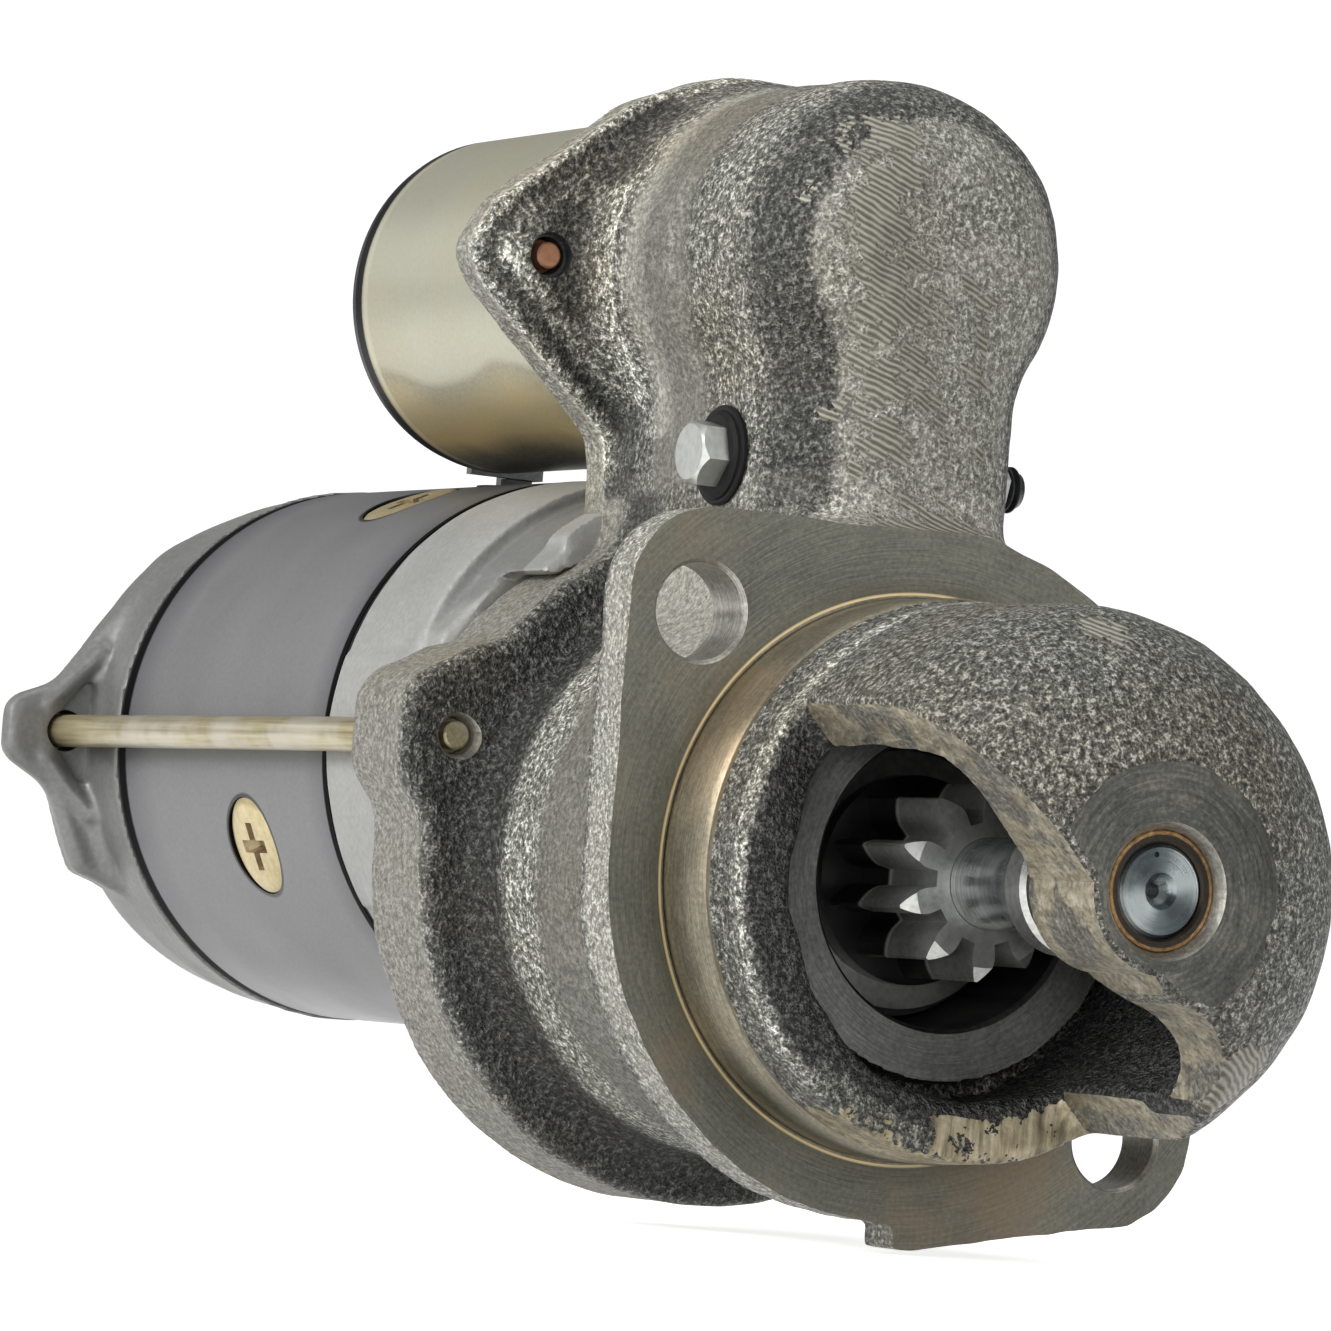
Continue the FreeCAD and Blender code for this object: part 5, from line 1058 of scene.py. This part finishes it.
def fasteners():
    z_rod, z_head, br, dk = MATS["zinc"], MATS["zinc_head"], MATS["bright"], MATS["dark_steel"]
    parts = []
    for s in (-1, 1):
        prof = [(-234.0, 0.0), (-234.0, 3.0), (-78.0, 3.0), (-77.6, 2.9)] + thread(2.95, -77.5, -66.0) + [(-65.6, 2.4), (-63.5, 2.4), (-63.1, 2.0), (-63.1, 0.0)]
        parts.append(lathe("tb", prof, 48, y=s * 53.25, z=MZ, mat=z_rod))
        parts.append(lathe("tw", [(-233.85, 0.0), (-233.85, 6.4), (-233.05, 6.4), (-233.05, 0.0)], 64, y=s * 53.25, z=MZ, mat=z_head))
        parts.append(hexhead("th", 10.0, -238.5, -233.86, 1.2, z_head, y=s * 53.25, z=MZ, start=0.5, cap=-1))
    closed("through_bolts_rods", parts, "through_bolts", "housing")
    # pivot bolt: chamfered hexagon, plain shank, threaded end
    P = dict(axis="y", x=PX, z=PZ)
    parts = [hexhead("ph", 10.0, -30.5, -25.8, 1.3, br, start=0.2, cap=-1, **P),
             lathe("ps", [(-25.85, 0.0), (-25.85, 3.98), (22.5, 3.98), (23.0, 3.9)] + thread(3.98, 23.2, 32.2, 1.25, 0.6) + [(33.0, 3.0), (33.0, 0.0)], 64, mat=dk, **P)]
    closed("pivot_bolt_body", parts, "lever_pivot_bolt", "housing")
    parts = [lathe("pw1", [(-25.8, 4.02), (-25.8, 6.6), (-25.3, 7.4), (-24.9, 7.5), (-24.9, 8.1), (-24.6, 8.4), (-24.0, 8.4), (-24.0, 4.02)], 128, mat=MATS["black"], **P)]
    closed("pivot_washer_ring", parts, "pivot_washer", "housing")

def studs_and_screws():
    lo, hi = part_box("solenoid_screws")
    x0, x1 = lo.x * 1000, hi.x * 1000
    ru = MATS["rust"]
    parts = []
    for s in (-1, 1):
        prof = [(x0, 0.0), (x0, 2.9)] + thread(2.9, x0 + 0.2, -73.0) + [(-72.4, 2.25), (min(x1, -68.6) - 0.3, 2.25), (min(x1, -68.6), 1.9), (min(x1, -68.6), 0.0)]
        parts.append(lathe("ss", prof, 48, y=s * 40.0, z=SZ, mat=ru))
    closed("solenoid_stud_ends", parts, "solenoid_screws", "housing")
    # pole screws: dished heads with a cross recess, a little below the frame's skin
    zh = MATS["zinc_head"]
    out = []
    for a in POLES:
        t = math.radians(a)
        d = Vector((0.0, -math.cos(t), math.sin(t)))
        o = lathe("psc", [(36.2, 0.0), (36.2, 3.95), (47.9, 3.95), (47.9, 9.0), (48.45, 9.0), (48.9, 8.3), (49.15, 7.3), (49.2, 3.0), (49.2, 0.0)], 96, mat=zh)
        tools = []
        for w1, w2 in ((5.9, 1.55), (1.55, 5.9)):
            me = bpy.data.meshes.new("cx")
            bm = bmesh.new()
            bmesh.ops.create_cube(bm, size=2.0)
            for q in bm.verts:
                sx, sy, sz = q.co
                k = 1.0 if sx > 0 else 0.45
                q.co = (48.9 + sx * 2.0, sy * w1 * k, sz * w2 * k)
                q.co.rotate(Matrix.Rotation(math.radians(24), 3, "X"))
            bm.to_mesh(me)
            bm.free()
            me.materials.append(MATS["recess"])
            tools.append(obj("cx", me))
        boolean(o, tools)
        rot = Vector((1, 0, 0)).rotation_difference(d).to_matrix().to_4x4()
        o.data.transform(Matrix.Translation((-156.0, 0.0, MZ)) @ rot)
        out.append(o)
    closed("pole_screw_heads", out, "pole_screws", "housing")

drive = drive_housing()
centre_housing()
end_frame()
fasteners()
studs_and_screws()

# ---------------------------------------------------------------- camera, floor, light
cam = bpy.data.cameras.new("camera")
cam.sensor_width, cam.sensor_fit, cam.lens = 36.0, "HORIZONTAL", 202.83
cam.clip_start, cam.clip_end = 0.05, 20.0
co = bpy.data.objects.new("camera", cam)
scene.collection.objects.link(co)
co.matrix_world = Matrix(((0.47563344, 0.00288089, 0.87963887, 1.060328), (0.87599278, -0.092564, -0.47335879, -0.619287),
                          (0.0800592, 0.99570257, -0.04655017, -0.025354), (0, 0, 0, 1)))
scene.camera = co
scene.view_settings.view_transform = "Standard"
scene.view_settings.look = "None"

def area(name, loc, target, size, power, size_y=None, color=(1, 1, 1)):
    l = bpy.data.lights.new(name, "AREA")
    l.energy, l.size, l.color = power, size, color
    if size_y:
        l.shape, l.size_y = "RECTANGLE", size_y
    o = bpy.data.objects.new(name, l)
    scene.collection.objects.link(o)
    o.location = loc
    d = Vector(target) - Vector(loc)
    o.rotation_euler = d.to_track_quat("-Z", "Y").to_euler()
    return o

area("key", (-0.1, -1.5, 0.75), (-0.05, 0, 0.03), 0.8, 19.5, 0.6)
area("front", (1.5, 0.35, 0.6), (0, 0, 0.03), 0.8, 8.5, 0.6)
area("top", (-0.1, 0.1, 1.3), (-0.05, 0, 0.05), 0.9, 5.0)
area("eye", (1.1, -0.75, 0.05), (0.03, 0, 0), 0.4, 4.8)
area("low", (0.25, -1.35, 0.02), (0, 0, 0.0), 0.5, 3.5)
area("rear", (-1.3, -0.9, 0.5), (-0.1, 0, 0.03), 0.7, 2.0)

world = bpy.data.worlds.new("studio")
scene.world = world
world.use_nodes = True
wt = world.node_tree
bg = wt.nodes["Background"]
lp = wt.nodes.new("ShaderNodeLightPath")
mixw = wt.nodes.new("ShaderNodeMix"); mixw.data_type = "RGBA"
tcw = wt.nodes.new("ShaderNodeTexCoord")
sepw = wt.nodes.new("ShaderNodeSeparateXYZ")
rw = wt.nodes.new("ShaderNodeValToRGB")
mr = wt.nodes.new("ShaderNodeMapRange")
mr.inputs["From Min"].default_value, mr.inputs["From Max"].default_value = -1.0, 1.0
wt.links.new(tcw.outputs["Generated"], sepw.inputs[0])
wt.links.new(sepw.outputs["Z"], mr.inputs["Value"])
wt.links.new(mr.outputs["Result"], rw.inputs["Fac"])
e = rw.color_ramp.elements
e[0].position, e[0].color = 0.35, (0.08, 0.08, 0.08, 1)
e[1].position, e[1].color = 0.9, (0.42, 0.42, 0.425, 1)
wt.links.new(lp.outputs["Is Camera Ray"], mixw.inputs[0])
wt.links.new(rw.outputs["Color"], mixw.inputs[6])
mixw.inputs[7].default_value = (1.2, 1.2, 1.2, 1)
wt.links.new(mixw.outputs[2], bg.inputs["Color"])
bg.inputs["Strength"].default_value = 0.9

fl = bpy.data.meshes.new("floor")
fl.from_pydata([(-6, -6, -0.0612), (6, -6, -0.0612), (6, 6, -0.0612), (-6, 6, -0.0612)], [], [(0, 1, 2, 3)])
floor = obj("floor", fl)
mf = Mat("floor_paper", Roughness=0.95, Specular_IOR_Level=0.1)
mf.out(color=mf.ramp(mf.noise(30, 2.0, 0.5), [(0.3, (0.90, 0.90, 0.90)), (0.7, (0.93, 0.93, 0.93))]))
mf.p.inputs["Emission Color"].default_value = (1, 1, 1, 1)
mf.p.inputs["Emission Strength"].default_value = 0.72
fl.materials.append(mf.m)
floor.visible_diffuse = False
